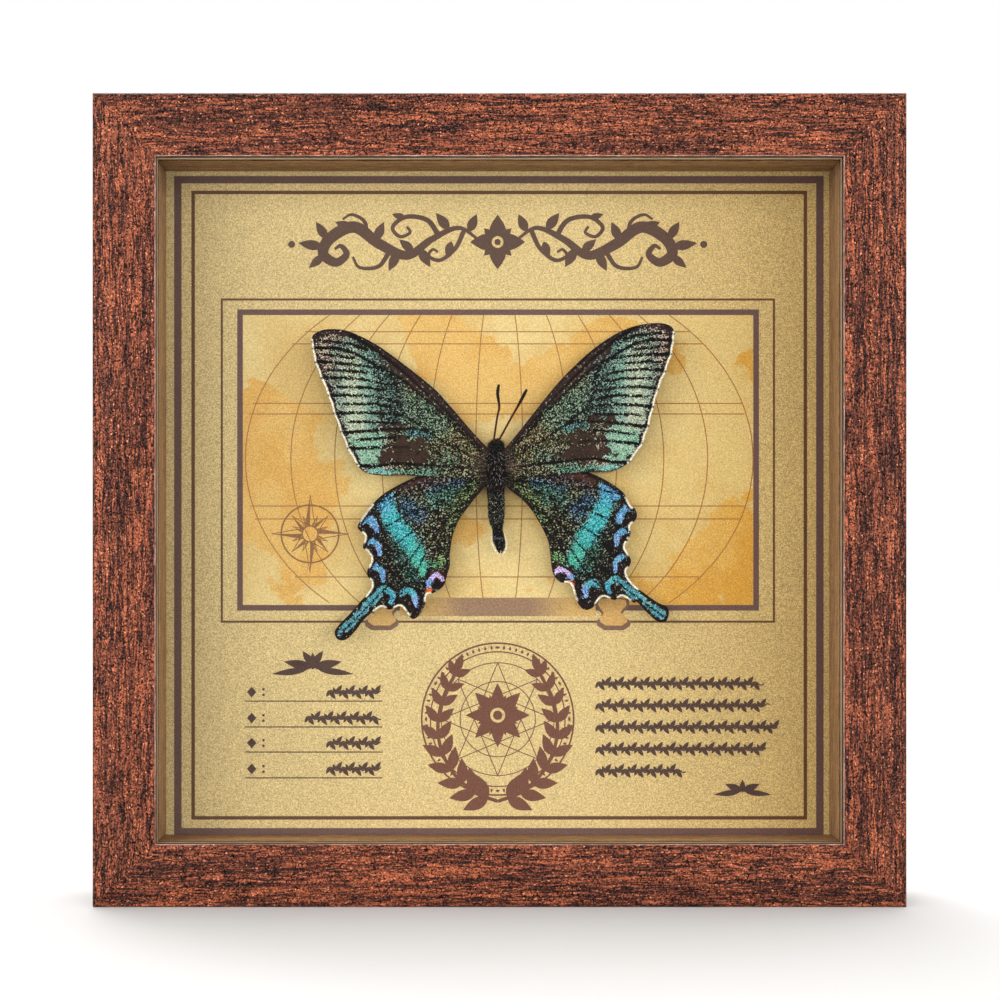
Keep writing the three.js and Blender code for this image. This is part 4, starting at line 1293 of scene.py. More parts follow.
def wing_mesh(name, outline, veins, camber, marks_of, fringe_of, pairs):
    """A wing cut to its outline and clear of the thorax, dyed with its marks, with a fringe of fine hairs."""
    across = fitted(pairs) if pairs else np.array
    outline = even(outline, mesh_spacing * 0.8)[:-1]
    rim_line = np.vstack([outline, outline[:1]])
    veins = [even(across(vein), mesh_spacing) for vein in veins]
    veins = [vein[inside(vein, outline) & (nearest(vein, rim_line)[0] > 0.2)] for vein in veins]
    lines = [vein for vein in veins if len(vein) > 1]
    low, high = outline.min(0), outline.max(0)
    columns = np.arange(low[0], high[0], mesh_spacing)
    rows = np.arange(low[1], high[1], mesh_spacing * 0.866)
    grid_x, grid_z = np.meshgrid(columns, rows)
    grid_x[1::2] += mesh_spacing / 2
    grid = np.stack([grid_x.ravel(), grid_z.ravel()], 1) + rng.uniform(-0.05, 0.05, (grid_x.size, 2))
    grid = grid[inside(grid, outline)]
    grid = grid[nearest(grid, rim_line)[0] > mesh_spacing * 0.55]
    for line in lines:
        grid = grid[nearest(grid, line)[0] > mesh_spacing * 0.5]
    points = [Vector(p) for p in outline]
    edges = [(i, (i + 1) % len(outline)) for i in range(len(outline))]
    for vein in veins:
        edges += [(len(points) + i, len(points) + i + 1) for i in range(len(vein) - 1)]
        points += [Vector(p) for p in vein]
    points += [Vector(p) for p in grid]
    flat, _, triangles, _, _, _ = delaunay_2d_cdt(points, edges, [], 1, 1e-5)
    at = np.array([tuple(p) for p in flat])
    rim_gap = nearest(at, rim_line)[0]
    vein_gap = np.min([nearest(at, line)[0] for line in lines], axis=0)
    marks = marks_of(at, rim_gap, across)
    depth = camber(at[:, 0], at[:, 1]) + vein_relief(vein_gap, rim_gap)
    triangles = np.array([tuple(t) for t in triangles])
    middle = np.stack([at[triangles, 0].mean(1), depth[triangles].mean(1), at[triangles, 1].mean(1)], 1)
    heights, widths = np.array(thorax_profile).T
    body_width = np.interp(middle[:, 2], heights, widths, left=0, right=0)
    clear = np.hypot(middle[:, 0], (middle[:, 1] - thorax_axis) / 1.05) > body_width + 0.3
    triangles = triangles[clear]
    made = built(name, (np.stack([at[:, 0], depth, at[:, 1]], 1) + BODY) * MM, triangles)
    fringe = fringe_of(at, rim_gap, rim_line)
    marks.lay(near(rim_gap, 0.16, 0.12), ground=(34, 25, 24), cover=0.0)
    marks.lay(near(rim_gap, 0.34, 0.12) * fringe, ground=(250, 242, 220), cover=0.0)
    dye(made, "tint", np.hstack([marks.tint, marks.cover[:, None]]))
    dye(made, "ground", np.hstack([marks.ground, np.ones((len(at), 1))]))
    only(made)
    bpy.ops.object.mode_set(mode="EDIT")
    bpy.ops.mesh.select_all(action="SELECT")
    bpy.ops.mesh.delete_loose()
    bpy.ops.object.mode_set(mode="OBJECT")
    bpy.ops.object.shade_smooth()
    wall = made.modifiers.new("membrane", "SOLIDIFY")
    wall.thickness, wall.offset = membrane, 0.0
    bpy.ops.object.modifier_apply(modifier="membrane")
    return joined(name, made, fringe_hairs(name + "_fringe", outline, across, camber, fringe_of))


def fringe_hairs(name, outline, across, camber, fringe_of):
    """Hairs in the plane of the wing, white in the bays, and long dark ones where dark_hair asks for them."""
    rim_line = np.vstack([outline, outline[:1]])
    roots = even(rim_line, 0.085)
    way = np.roll(roots, -1, 0) - np.roll(roots, 1, 0)
    out = np.stack([way[:, 1], -way[:, 0]], 1)
    out /= np.maximum(np.linalg.norm(out, axis=1, keepdims=True), 1e-9)
    if inside(roots[:1] + out[:1] * 0.1, outline)[0]:
        out = -out
    strength = fringe_of(roots, np.zeros(len(roots)), rim_line)
    kept = (strength > 0.5) | (dark_hair(roots, across) > 0)
    roots, out, strength = roots[kept], out[kept], strength[kept]
    long = dark_hair(roots, across)
    feet = roots - out * 0.2
    ways = np.stack([out[:, 0], 0 * out[:, 0], out[:, 1]], 1) + rng.normal(size=(len(roots), 3)) * 0.16
    depth = camber(feet[:, 0], feet[:, 1])
    dark_lengths = 0.2 + long * rng.uniform(0.5, 1.1, len(roots))
    lengths = np.where(long > 0, dark_lengths, rng.uniform(0.3, 0.5, len(roots)))
    feet = np.stack([feet[:, 0], depth, feet[:, 1]], 1)
    hairs = spikes(name, feet, ways, lengths, np.full(len(roots), 0.09))
    white = (strength > 0.5) & (long == 0)
    hue = np.where(white[:, None], np.array([tone(244, 236, 214)]), np.array([tone(46, 34, 32)]))
    dye(hairs, "tint", (0, 0, 0, 0))
    dye(hairs, "ground", np.repeat(hue, 4, axis=0))
    return hairs


wing_root = 1.5
fore_veins = [
    [(-46.1, 30.2), (-40, 30), (-36, 29), (-32.5, 27.2), (-29.5, 25.4), (-24, 22.6), (-14, 14.2), (-4, 4.2)],
    [(-45.5, 26.7), (-40, 26.3), (-35, 25.8), (-31, 25.3), (-27, 24.4)],
    [(-43.8, 22.6), (-38, 22.6), (-33, 22.1), (-28.5, 21.3), (-25, 20.8)],
    [(-42, 18.1), (-36, 18.2), (-31, 17.9), (-27, 17.2), (-24.5, 16.5)],
    [(-40.6, 13.6), (-35, 13.8), (-30, 13.8), (-25, 13.4), (-22.5, 12.8)],
    [(-38.9, 8.8), (-33, 9.2), (-28, 9.6), (-20, 10), (-17, 9.0)],
    [(-37.2, 4.8), (-32, 5), (-28, 5.3), (-22, 5.2)],
    [(-34.9, 0.6), (-30, 0.4), (-25, 1.2), (-15, 0.5), (-3, 0)],
    [(-36.5, 33.4), (-31, 30.2), (-24, 24.8), (-14, 15.6), (-4, 5.4)],
    [(-27, 24.4), (-25, 20.8), (-24.5, 16.5), (-22.5, 12.8), (-17, 9), (-12, 6), (-4, 2)],
]
fore_folds = [
    [(-45, 31.9), (-42, 31.8), (-36, 31), (-32, 29.5)],
    [(-44.8, 28.4), (-42, 28.3), (-35, 27.4)],
    [(-43.4, 24.6), (-38, 24.4), (-32, 23.8)],
    [(-41.6, 20.4), (-33, 20.2), (-27, 19.4)],
    [(-39.8, 16), (-30, 16), (-25, 15)],
    [(-38, 11.6), (-32, 11.5), (-24, 11.3)],
    [(-36, 6.9), (-30, 7.4), (-24, 7.8)],
]
costa_line = [
    (-wing_root, 4.4), (-5.6, 8.7), (-11.3, 15.3), (-16.3, 20.6), (-26.7, 28.7), (-31.7, 31.9), (-36.7, 34.2),
    (-40.0, 34.8), (-43.4, 34.6), (-45.8, 33.4), (-46.5, 31.6),
]
fore_tips = [
    (-46.5, 31.6), (-46.3, 29.9), (-45.6, 26.4), (-44.0, 22.4), (-42.2, 18.1), (-40.8, 13.6), (-39.1, 8.9),
    (-37.4, 4.8), (-35.1, 0.8),
]
fore_inner = [(-35.1, 0.8), (-32.7, -1.2), (-28.2, -1.9), (-23.1, -1.8), (-14.0, -2.4), (-wing_root, -2.6)]
costa_right = [
    (wing_root, 4.0), (6.3, 9.8), (12.2, 17.3), (16.6, 22.5), (22.1, 27.9), (27.2, 31.9), (32.2, 34.7),
    (37.2, 36.1), (41.5, 36.3), (44.0, 35.4), (44.9, 33.5),
]
tips_right = [
    (44.9, 33.5), (44.8, 31.9), (44.2, 28.4), (42.6, 24.1), (40.8, 19.6), (39.6, 15.2), (38.4, 10.4),
    (36.9, 6.0), (33.7, 1.4),
]
inner_right = [(33.7, 1.4), (30.4, -0.4), (27.2, -0.9), (23.4, -1.0), (13.6, -2.0), (wing_root, -2.6)]
fore_pairs = list(zip(fore_tips, tips_right)) + [
    ((-wing_root, 4.4), (wing_root, 4.0)), ((-wing_root, -2.6), (wing_root, -2.6)),
    ((-16.3, 20.6), (16.6, 22.9)), ((-26.7, 28.7), (26.4, 31.2)), ((-36.7, 34.2), (35.2, 35.8)),
    ((-14.0, -2.4), (13.6, -2.0)), ((-23.1, -1.8), (23.0, -1.0)), ((-28.2, -1.9), (27.5, -0.9)),
]
outer_edge = [(-44.6, 34.6), (-46.6, 32.4), *fore_tips[1:]]


def risen(x, span, rise, sag):
    out = np.abs(x) / span
    return -rise * out + sag * np.sin(math.pi * out)


def fore_camber(x, z):
    return -2.5 + risen(x, 45, 1.3, 0.5) - 0.25 * np.sin(z / 7)


def vein_relief(vein_gap, rim_gap):
    """Raised veins, and a shallow trough between them that fades towards the edge."""
    ridge = 0.1 * np.exp(-((vein_gap / 0.16) ** 2))
    trough = 0.16 * np.clip(vein_gap / 2.2, 0, 1) ** 2 * np.clip(rim_gap / 2, 0, 1)
    return trough - ridge


def fore_marks(at, rim_gap, across):
    marks = Marks(at, across, ground=(20, 14, 14), tint=(138, 138, 100), cover=0.34)
    margin, _ = nearest(marks.shifted, across(outer_edge))
    costa, _ = nearest(at, across(costa_line))
    # Green dust on the inner half: golden at the root, clearer green in the cell.
    marks.along([(-3, 3), (-12, 8)], 1.5, 7, tint=(142, 134, 88), cover=0.37)
    marks.along([(-16, 12), (-20, 14)], 2.0, 6, tint=(118, 146, 116), cover=0.41)
    marks.along([(-12, 2), (-18, -0.5)], 1.0, 3, tint=(120, 136, 108), cover=0.39)
    # Mauve dust near the outer edge, and inside it the band: pale on its outer side, teal on its inner side.
    marks.lay(near(margin, 8, 5), tint=(172, 152, 132), cover=0.68)
    inner_side = [(-31, 31.2), (-28.5, 27), (-27, 22), (-26.5, 17), (-26, 13)]
    marks.along(inner_side, 1.0, 4.5, tint=(100, 130, 120), cover=0.36)
    heart = [
        (-37.4, 29.2), (-35.8, 26.4), (-35.4, 22), (-35.4, 17), (-34.8, 13), (-33.6, 9), (-32.6, 5.5),
        (-32.0, 2.6),
    ]
    gap, share = nearest(marks.shifted, across(heart))
    reach = np.interp(share, [0, 0.15, 0.4, 0.7, 1], [2.4, 4.0, 4.7, 3.6, 2.4])
    thick = np.interp(share, [0, 0.12, 0.3, 0.6, 0.8, 1], [0.6, 0.78, 0.95, 1.0, 1.0, 1.0])
    marks.lay(near(gap / reach, 0.3, 2.2), tint=(112, 144, 132), cover=0.58)
    band = near(gap / reach, 0.35, 1.35)
    marks.lay(near(gap / reach, 0.3, 1.5) * (1 - near(margin, 4, 7)), tint=(110, 154, 138))
    marks.cover += (thick - marks.cover) * band
    pale = [
        (-36.8, 27.6), (-36.4, 24), (-36.0, 20), (-35.8, 16), (-35.6, 12.6), (-35.0, 9), (-34.4, 6.5),
        (-33.8, 4.4),
    ]
    gap, _ = nearest(marks.shifted, across(pale))
    marks.lay(near(gap, 0.3, 4.2) * 0.9, tint=(178, 186, 158))
    # The cells near the hind corner are the brightest.
    for cell in ([(-33.4, 2.8), (-29.6, 2.0)], [(-35.0, 6.6), (-28.8, 7.3)], [(-35.0, 5.4), (-29.6, 5.5)]):
        marks.along(cell, 0.6, 1.8, tint=(130, 172, 146), cover=0.96)
    # Brown velvet without dust, in three patches with ragged ends.
    ragged = at + (marks.shifted - at) * 2.4
    for line, half in (
        ([(-31.4, 2.4), (-26, 2.8), (-20.5, 2.7), (-14.8, 2.0)], 2.4),
        ([(-28.6, 4.8), (-25.0, 5.9), (-20.5, 6.2), (-15.4, 5.4)], 1.7),
        ([(-32.0, 9.4), (-28, 9.9), (-24, 10.2), (-20.6, 9.9)], 1.05),
    ):
        gap, share = nearest(ragged, across(line))
        swell = half * np.interp(share, [0, 0.2, 0.42, 0.65, 1], [0.06, 0.62, 1, 1, 0.12])
        marks.lay(near(gap / swell, 0.3, 1.0), ground=(60, 44, 36))
        marks.lay(near(gap / swell, 0.35, 0.95), cover=-0.04)
    marks.along([(-22, 9.0), (-17.5, 8.4)], 0.3, 1.5, tint=(84, 140, 138), cover=0.5)
    marks.along([(-31.5, -0.9), (-26, -1.0)], 0.4, 1.0, tint=(116, 172, 160), cover=0.93)
    marks.along([(-26, -1.0), (-16, -1.3)], 0.3, 1.0, tint=(96, 144, 124), cover=0.6)
    # Bare brown strip along the front edge.
    marks.along([(-28, 27.6), (-22, 22.6), (-13, 15.2)], 0.5, 1.8, ground=(60, 42, 36), cover=0.1)
    marks.lay(near(costa, 1.0, 1.0), ground=(50, 34, 34), cover=0.05)
    marks.lay(near(costa, 0.25, 0.2), ground=(22, 15, 15), cover=0.0)
    # The dark margin.
    marks.lay(near(margin, 0.75, 1.0), ground=(38, 25, 25), cover=0.06)
    # Veins and folds: a narrow line with bare ground beside it, so that the band breaks into streaks.
    *streak_veins, cell_end = fore_veins
    for vein in streak_veins:
        gap, share = nearest(at, across(vein))
        marks.lay(near(gap, 0.25, 0.7) * 0.25 * (1 - share), cover=0.15)
        marks.lay(near(gap, 0.3 - 0.14 * share, 0.24) * (1 - 0.4 * share), ground=(15, 10, 11), cover=-0.04)
    gap, _ = nearest(at, across(cell_end))
    marks.lay(near(gap, 0.1, 0.4) * 0.85, ground=(22, 16, 16), cover=0.04)
    for fold in fore_folds:
        gap, share = nearest(at * 0.85 + marks.shifted * 0.15, across(fold))
        ends = np.clip(share / 0.15, 0, 1) * np.clip((1 - share) / 0.1, 0, 1)
        marks.lay(near(gap, 0.2, 0.6) * 0.2 * ends, cover=0.12)
        marks.lay(near(gap, 0.24, 0.22) * (0.8 + 0.2 * share) * ends, ground=(17, 12, 12), cover=-0.04)
    return marks


def fore_fringe(at, rim_gap, rim_line):
    """White in the hollow of each bay of the outer edge."""
    tips = fore_tips if rim_line[:, 0].mean() < 0 else tips_right
    gap, _ = nearest(at, tips)
    tip_gap = np.min([np.linalg.norm(at - np.array(tip), axis=1) for tip in tips], axis=0)
    return near(gap, 0.7, 0.2) * (1 - near(tip_gap, 0.22, 0.26))


def dark_hair(at, across):
    """How long the dark hairs are along the hind edge of a forewing, in millimetres."""
    line = across([(-31.5, -1.5), (-23.5, -1.8)])
    gap, share = nearest(at, line)
    right = at[:, 0].mean() > 0 and at[:, 1].max() > 10
    return np.where((gap < 0.7) & right, 0.9 * np.sin(math.pi * np.clip(share, 0.08, 0.92)), 0.0)


flat_grains = (1, 0, 1)
wing_material = scale_material("forewing_scales", 4000.0, 0.05 * MM, 0.06, flat_grains)
for side, costa, tips, inner, pairs in (
    ("left", costa_line, fore_tips, fore_inner, None),
    ("right", costa_right, tips_right, inner_right, fore_pairs),
):
    outline = np.vstack([spline(costa, 0.3)[:-1], bays(tips, 0.28), spline(inner, 0.3)])
    outline = np.vstack([outline, outline[:1]])
    wing = wing_mesh(
        f"scaled_forewing_{side}", outline, fore_veins, fore_camber, fore_marks, fore_fringe, pairs
    )
    wing.data.materials.append(wing_material)
    settle(wing, "forewing", f"forewing_{side}")

# ---------------------------------------------------------------------------- hindwings
# The hindwings lie behind the forewings. They are black with golden-green dust, a glossy teal band, blue
# crescents along the edge, an eye spot at the hind corner and a tail with two teal strips. The deep bays of
# the edge have a white fringe.
hind_left = [
    (-wing_root, 1.2), (-8.0, 1.8), (-14.0, 0.6), (-19.4, -1.8), (-24.1, -4.0), (-28.2, -6.4),
    (-30.8, -8.8), (-33.2, -11.8), (-34.8, -14.6), (-34.2, -15.8), (-32.9, -17.2), (-33.5, -19.9),
    (-32.4, -20.9), (-31.3, -22.9), (-32.4, -25.9), (-32.2, -27.3), (-31.2, -28.9), (-31.8, -30.9),
    (-34.2, -33.7), (-36.8, -36.7), (-39.2, -39.1), (-40.6, -41.1), (-40.2, -42.8), (-38.9, -43.4),
    (-37.2, -42.8), (-35.2, -40.7), (-33.2, -38.1), (-30.8, -36.1), (-28.8, -34.9), (-26.8, -35.6),
    (-24.1, -34.7), (-22.4, -36.5), (-21.0, -38.0), (-19.4, -37.1), (-18.0, -34.7), (-17.4, -31.9),
    (-15.6, -31.4), (-13.3, -29.7), (-12.3, -26.9), (-11.6, -24.3), (-11.6, -21.6), (-10.9, -17.1),
    (-9.3, -13.1), (-6.8, -9.5), (-4.3, -6.4), (-wing_root, -3.4),
]
hind_right = [
    (wing_root, 1.2), (8.0, 2.2), (14.0, 1.6), (19.0, 0.6), (23.4, -1.0), (27.2, -2.8), (30.4, -4.8),
    (32.2, -6.4), (33.9, -9.5), (34.9, -10.1), (35.5, -11.8), (35.0, -13.2), (33.7, -14.5), (33.9, -16.5),
    (33.2, -18.1), (32.4, -19.9), (33.9, -22.9), (33.7, -24.4), (32.7, -26.2), (34.2, -28.9), (37.2, -31.4),
    (40.5, -33.7), (43.0, -35.0), (43.5, -36.7), (42.6, -38.7), (40.5, -38.5), (38.2, -36.5), (35.5, -33.7),
    (34.7, -33.9), (31.8, -32.2), (29.8, -33.2), (26.8, -32.4), (24.4, -35.1), (22.6, -35.7), (21.1, -34.7),
    (20.1, -32.7), (19.1, -29.7), (18.1, -28.8), (16.3, -28.7), (14.6, -26.9), (14.0, -24.6), (13.6, -20.9),
    (13.0, -17.9), (11.0, -13.8), (8.6, -10.1), (6.5, -7.8), (3.5, -5.4), (wing_root, -3.4),
]
hind_pairs = [
    ((-2, -1), (2, -1)), ((-24.1, -4.0), (25.6, -2.0)), ((-28.2, -6.4), (29.4, -4.2)),
    ((-34.8, -14.6), (35.5, -11.8)), ((-32.9, -17.2), (33.7, -14.5)), ((-33.5, -19.9), (33.9, -16.5)),
    ((-31.3, -22.9), (32.4, -19.9)), ((-32.4, -26.3), (33.9, -23.4)), ((-31.2, -28.9), (32.7, -26.2)),
    ((-40.2, -42.4), (43.2, -37.6)), ((-28.8, -34.9), (31.8, -32.2)), ((-26.8, -35.6), (29.8, -33.2)),
    ((-24.1, -34.7), (26.8, -32.4)), ((-21.0, -38.0), (22.6, -35.7)), ((-17.4, -31.9), (18.8, -29.0)),
    ((-15.0, -28.5), (17.0, -27.3)), ((-12.3, -26.9), (14.4, -25.6)), ((-11.6, -21.6), (13.6, -20.0)),
    ((-9.3, -13.1), (11.0, -13.4)), ((-4.3, -6.4), (4.8, -6.4)), ((-27.0, -8.5), (27.5, -7.0)),
    ((-25.5, -14.5), (25.2, -13.0)), ((-22.5, -17.5), (22.6, -16.4)), ((-18.6, -24.5), (19.6, -22.6)),
    ((-35.5, -37.5), (38.2, -34.0)),
]
hind_veins = [
    [(-4, -3), (-15, -4.5), (-24, -6.5), (-31.5, -9.5)],
    [(-13, -8), (-22, -11.5), (-28, -15), (-33.2, -18.8)],
    [(-14, -11), (-20, -15.2), (-25, -19), (-32, -25)],
    [(-14, -13), (-18.5, -18.5), (-22.5, -24), (-27.5, -30), (-33, -35.6), (-39.4, -42)],
    [(-13.5, -14), (-17.5, -21), (-20.5, -27), (-26.4, -35)],
    [(-12.5, -13), (-15, -20), (-17.3, -27), (-20.4, -37)],
    [(-4, -6), (-9, -14), (-11, -22), (-12, -27)],
    [(-3, -3), (-13, -7.5), (-15, -11), (-13.5, -14), (-12.5, -13), (-3, -4)],
]


def hind_camber(x, z):
    return -1.3 + risen(x, 36, 0.9, 0.35) + 1.1 * (np.maximum(0, -z - 24) / 20) ** 2


def hind_marks(at, rim_gap, across):
    marks = Marks(at, across, ground=(17, 12, 12), tint=(146, 146, 104), cover=0.23)
    # Thin dust on the outer half and under the forewing, and coloured clouds between the root and the band.
    marks.along([(-30, -12), (-27, -22), (-24, -30), (-18, -32)], 4.0, 4, tint=(108, 112, 92), cover=0.16)
    marks.along([(-23, -4.4), (-14, -1.6)], 0.8, 2.6, tint=(116, 98, 98), cover=0.28)
    marks.along([(-24, -4.5), (-18, -2.2)], 0.4, 0.9, ground=(74, 44, 34), cover=0.08)
    for half, blur, tint, cover, line in (
        (1.0, 3.4, (76, 112, 142), 0.34, [(-22.5, -10), (-20, -11.5)]),
        (0.5, 2.4, (80, 120, 146), 0.42, [(-16, -6.4), (-12, -5), (-9, -3.8)]),
        (0.8, 3.0, (88, 136, 112), 0.38, [(-15.5, -8.5), (-10, -7)]),
        (0.5, 2.6, (116, 136, 82), 0.38, [(-5, -4), (-9, -9), (-10.5, -14)]),
        (1.0, 3.2, (82, 126, 106), 0.3, [(-23.5, -21), (-21, -27)]),
        (0.4, 1.5, (100, 158, 86), 0.58, [(-17.4, -25.0), (-13.8, -23.6)]),
        (0.4, 1.3, (76, 146, 152), 0.5, [(-16.8, -26.6), (-17.2, -28.4)]),
    ):
        marks.along(line, half, blur, tint=tint, cover=cover)
    # The teal band, blue at the front edge and greener towards the hind corner.
    band = [(-27.7, -8.2), (-27.0, -11.2), (-24.9, -14.6), (-22.4, -17.7), (-20.2, -21.5), (-18.3, -25.6)]
    gap, share = nearest(marks.shifted, across(band))
    half = np.interp(share, [0, 0.2, 0.45, 0.65, 0.85, 1], [1.3, 2.2, 2.5, 2.4, 1.8, 1.4])
    marks.lay(near(gap, half * 0.2, half * 0.5 + 3.6), tint=(78, 138, 134), cover=0.44)
    blue, teal, green = (np.array(tone(*c)[:3]) for c in ((80, 148, 194), (48, 168, 174), (66, 168, 142)))
    hue = blue + (teal - blue) * np.clip(share / 0.2, 0, 1)[:, None]
    hue = hue + (green - hue) * np.clip((share - 0.55) / 0.4, 0, 1)[:, None]
    weight = near(gap / half, 0.5, 0.85)
    marks.tint += (hue - marks.tint) * weight[:, None]
    marks.cover += (0.96 - marks.cover) * weight
    marks.along([(-26.6, -6.9), (-28.4, -7.9), (-30.2, -9.4)], 0.75, 0.7, tint=(74, 142, 178), cover=0.94)
    # Crescents inside the bays, with bare ground towards the edge, and the strips of the tail.
    outer_zone = np.clip((nearest(at, across([(-3, -3), (-11.5, -22)]))[0] - 9) / 4, 0, 1)
    outer_zone = outer_zone * np.clip((-8.0 - at[:, 1]) / 2.5, 0, 1)
    marks.lay(near(rim_gap, 1.5, 1.2) * outer_zone, ground=(30, 17, 18), cover=0.05)
    crescents = [
        (0.95, (84, 144, 184), (104, 154, 198),
         [(-34.0, -13.7), (-32.2, -12.7), (-30.8, -14.0), (-30.0, -15.7)]),
        (0.74, (84, 146, 184), (104, 148, 194),
         [(-33.4, -19.4), (-31.6, -18.2), (-29.7, -19.4), (-29.2, -21.4)]),
        (0.72, (84, 146, 184), (104, 148, 194),
         [(-32.3, -25.5), (-30.8, -24.7), (-28.9, -25.9), (-28.5, -28.4)]),
        (0.72, (54, 156, 164), (70, 152, 176),
         [(-30.4, -32.0), (-28.4, -30.4), (-26.2, -31.6), (-26.4, -33.8)]),
        (0.8, (66, 152, 170), (116, 142, 204),
         [(-23.8, -31.8), (-22.3, -30.6), (-20.7, -32.0), (-19.9, -34.6)]),
    ]
    slightly_shifted = at * 0.6 + marks.shifted * 0.4
    for half, tint, end, line in crescents:
        gap, share = nearest(slightly_shifted, across(spline(line, 0.4)))
        half = half * (0.45 + 0.4 * np.sin(math.pi * (0.1 + 0.8 * share)))
        marks.lay(near(gap, half + 0.45, 0.6), ground=(24, 15, 15), cover=0.03)
        marks.lay(near(gap, half, 0.4), tint=tint, cover=1.0)
        marks.lay(near(gap, half, 0.4) * np.clip((share - 0.5) / 0.3, 0, 1), tint=end)
    tail = [(-29.6, -31.4), (-33.8, -36.2), (-37.4, -39.8), (-39.0, -41.4)]
    marks.along(tail, 0.75, 0.6, tint=(72, 146, 160), cover=1.0)
    # The eye spot: a lilac crescent over a black pupil, with a dark red rim and an orange fleck below it.
    marks.along([(-15.6, -28.8), (-14.8, -29.3)], 1.9, 0.8, ground=(22, 16, 17), cover=0.02)
    marks.along([(-17.2, -27.0), (-14.6, -25.8), (-12.8, -27.0)], 0.5, 0.5, ground=(52, 24, 26), cover=0.02)
    lilac = [(-17.1, -30.0), (-16.8, -28.6), (-16.0, -27.4), (-14.7, -26.9), (-13.6, -27.4), (-13.2, -28.4)]
    gap, share = nearest(slightly_shifted, across(lilac))
    half = np.interp(share, [0, 0.4, 0.65, 1], [0.2, 0.4, 0.55, 0.3])
    marks.lay(near(gap, half, 0.35), tint=(188, 164, 218), cover=1.0)
    marks.along(lilac[:2], 0.3, 0.5, tint=(122, 148, 208), cover=0.95)
    marks.along([(-16.2, -29.5), (-15.2, -28.2), (-14.0, -28.6)], 0.1, 0.5, ground=(70, 24, 20), cover=0.0)
    marks.along([(-15.3, -29.3), (-14.8, -29.5)], 0.75, 0.4, ground=(18, 13, 14), cover=0.0)
    for vein in hind_veins:
        gap, _ = nearest(at, across(vein))
        marks.lay(near(gap, 0.1, 0.24) * 0.9, ground=(18, 13, 13), cover=0.03)
    inner = near(nearest(at, across([(-9.5, -12.5), (-11.8, -22), (-12.6, -27.5)]))[0], 1.2, 0.5)
    in_tail = near(nearest(at, across([(-34, -36.4), (-39, -41.4)]))[0], 3.5, 1.5)
    marks.lay(near(rim_gap + 0.3 * in_tail, 0.7, 0.6) * (1 - inner * 0.6), ground=(30, 19, 19), cover=0.04)
    orange = near(nearest(at, across([(-17.2, -31.2), (-16.6, -30.6)]))[0], 0.42, 0.3)
    marks.lay(orange, ground=(220, 100, 40), cover=0.0)
    return marks


def hind_fringe(at, rim_gap, rim_line):
    """White along the outer edge, where it runs straight or turns inwards, but not on the tail."""
    line = even(rim_line, 0.2)[:-1]
    ahead = np.roll(line, -4, 0) - line
    behind = line - np.roll(line, 4, 0)
    turn = np.arctan2(np.cross(behind, ahead), np.einsum("ij,ij->i", behind, ahead))
    area = np.cross(line, np.roll(line, -1, 0)).sum()
    hollow = np.clip((0.1 - turn * np.sign(area)) / 0.1, 0, 1)
    side = np.sign(line[:, 0].mean())
    tail = [(-34.2, -35.6), (-40.0, -42.0)] if side < 0 else [(38.0, -33.2), (43.4, -37.4)]
    drop = 0 if side < 0 else 2.4
    outer = (line[:, 1] < drop - 9.0) & ((np.abs(line[:, 0]) > 16) | (line[:, 1] < drop - 28.8))
    hollow = hollow * outer * (nearest(line, tail)[0] > 3.4)
    closest = np.zeros(len(at), int)
    best = np.full(len(at), np.inf)
    for i, point in enumerate(line):
        gap = np.hypot(at[:, 0] - point[0], at[:, 1] - point[1])
        closer = gap < best
        best[closer], closest[closer] = gap[closer], i
    return hollow[closest]


wing_material = scale_material("hindwing_scales", 4000.0, 0.05 * MM, 0.07, flat_grains)
for side, points, pairs in (("left", hind_left, None), ("right", hind_right, hind_pairs)):
    outline = spline(points, 0.3)
    outline = np.vstack([outline, outline[:1]])
    wing = wing_mesh(
        f"scaled_hindwing_{side}", outline, hind_veins, hind_camber, hind_marks, hind_fringe, pairs
    )
    wing.data.materials.append(wing_material)
    settle(wing, "hindwing", f"hindwing_{side}")

# ---------------------------------------------------------------------------- back board
# A sheet of raw hardboard, pressed from brown wood fibre, laid in behind the card. Two blind holes take the
# nails of the hanger.
def worked(node, name, bevel, angle=30):
    """A copy of a CAD piece, merged, with its edges broken where they are sharper than the angle."""
    made = copied(bpy.data.objects[node], name)
    only(made)
    made.data.materials.clear()
    bpy.ops.object.mode_set(mode="EDIT")
    bpy.ops.mesh.select_all(action="SELECT")
    bpy.ops.mesh.remove_doubles(threshold=1e-6)
    bpy.ops.mesh.dissolve_limited(angle_limit=math.radians(1))
    bpy.ops.mesh.normals_make_consistent(inside=False)
    bpy.ops.object.mode_set(mode="OBJECT")
    edge = made.modifiers.new("edge", "BEVEL")
    edge.width, edge.segments, edge.limit_method = bevel, 2, "ANGLE"
    edge.angle_limit = math.radians(angle)
    bpy.ops.object.modifier_apply(modifier="edge")
    bpy.ops.object.shade_smooth_by_angle(angle=smooth_below)
    return made


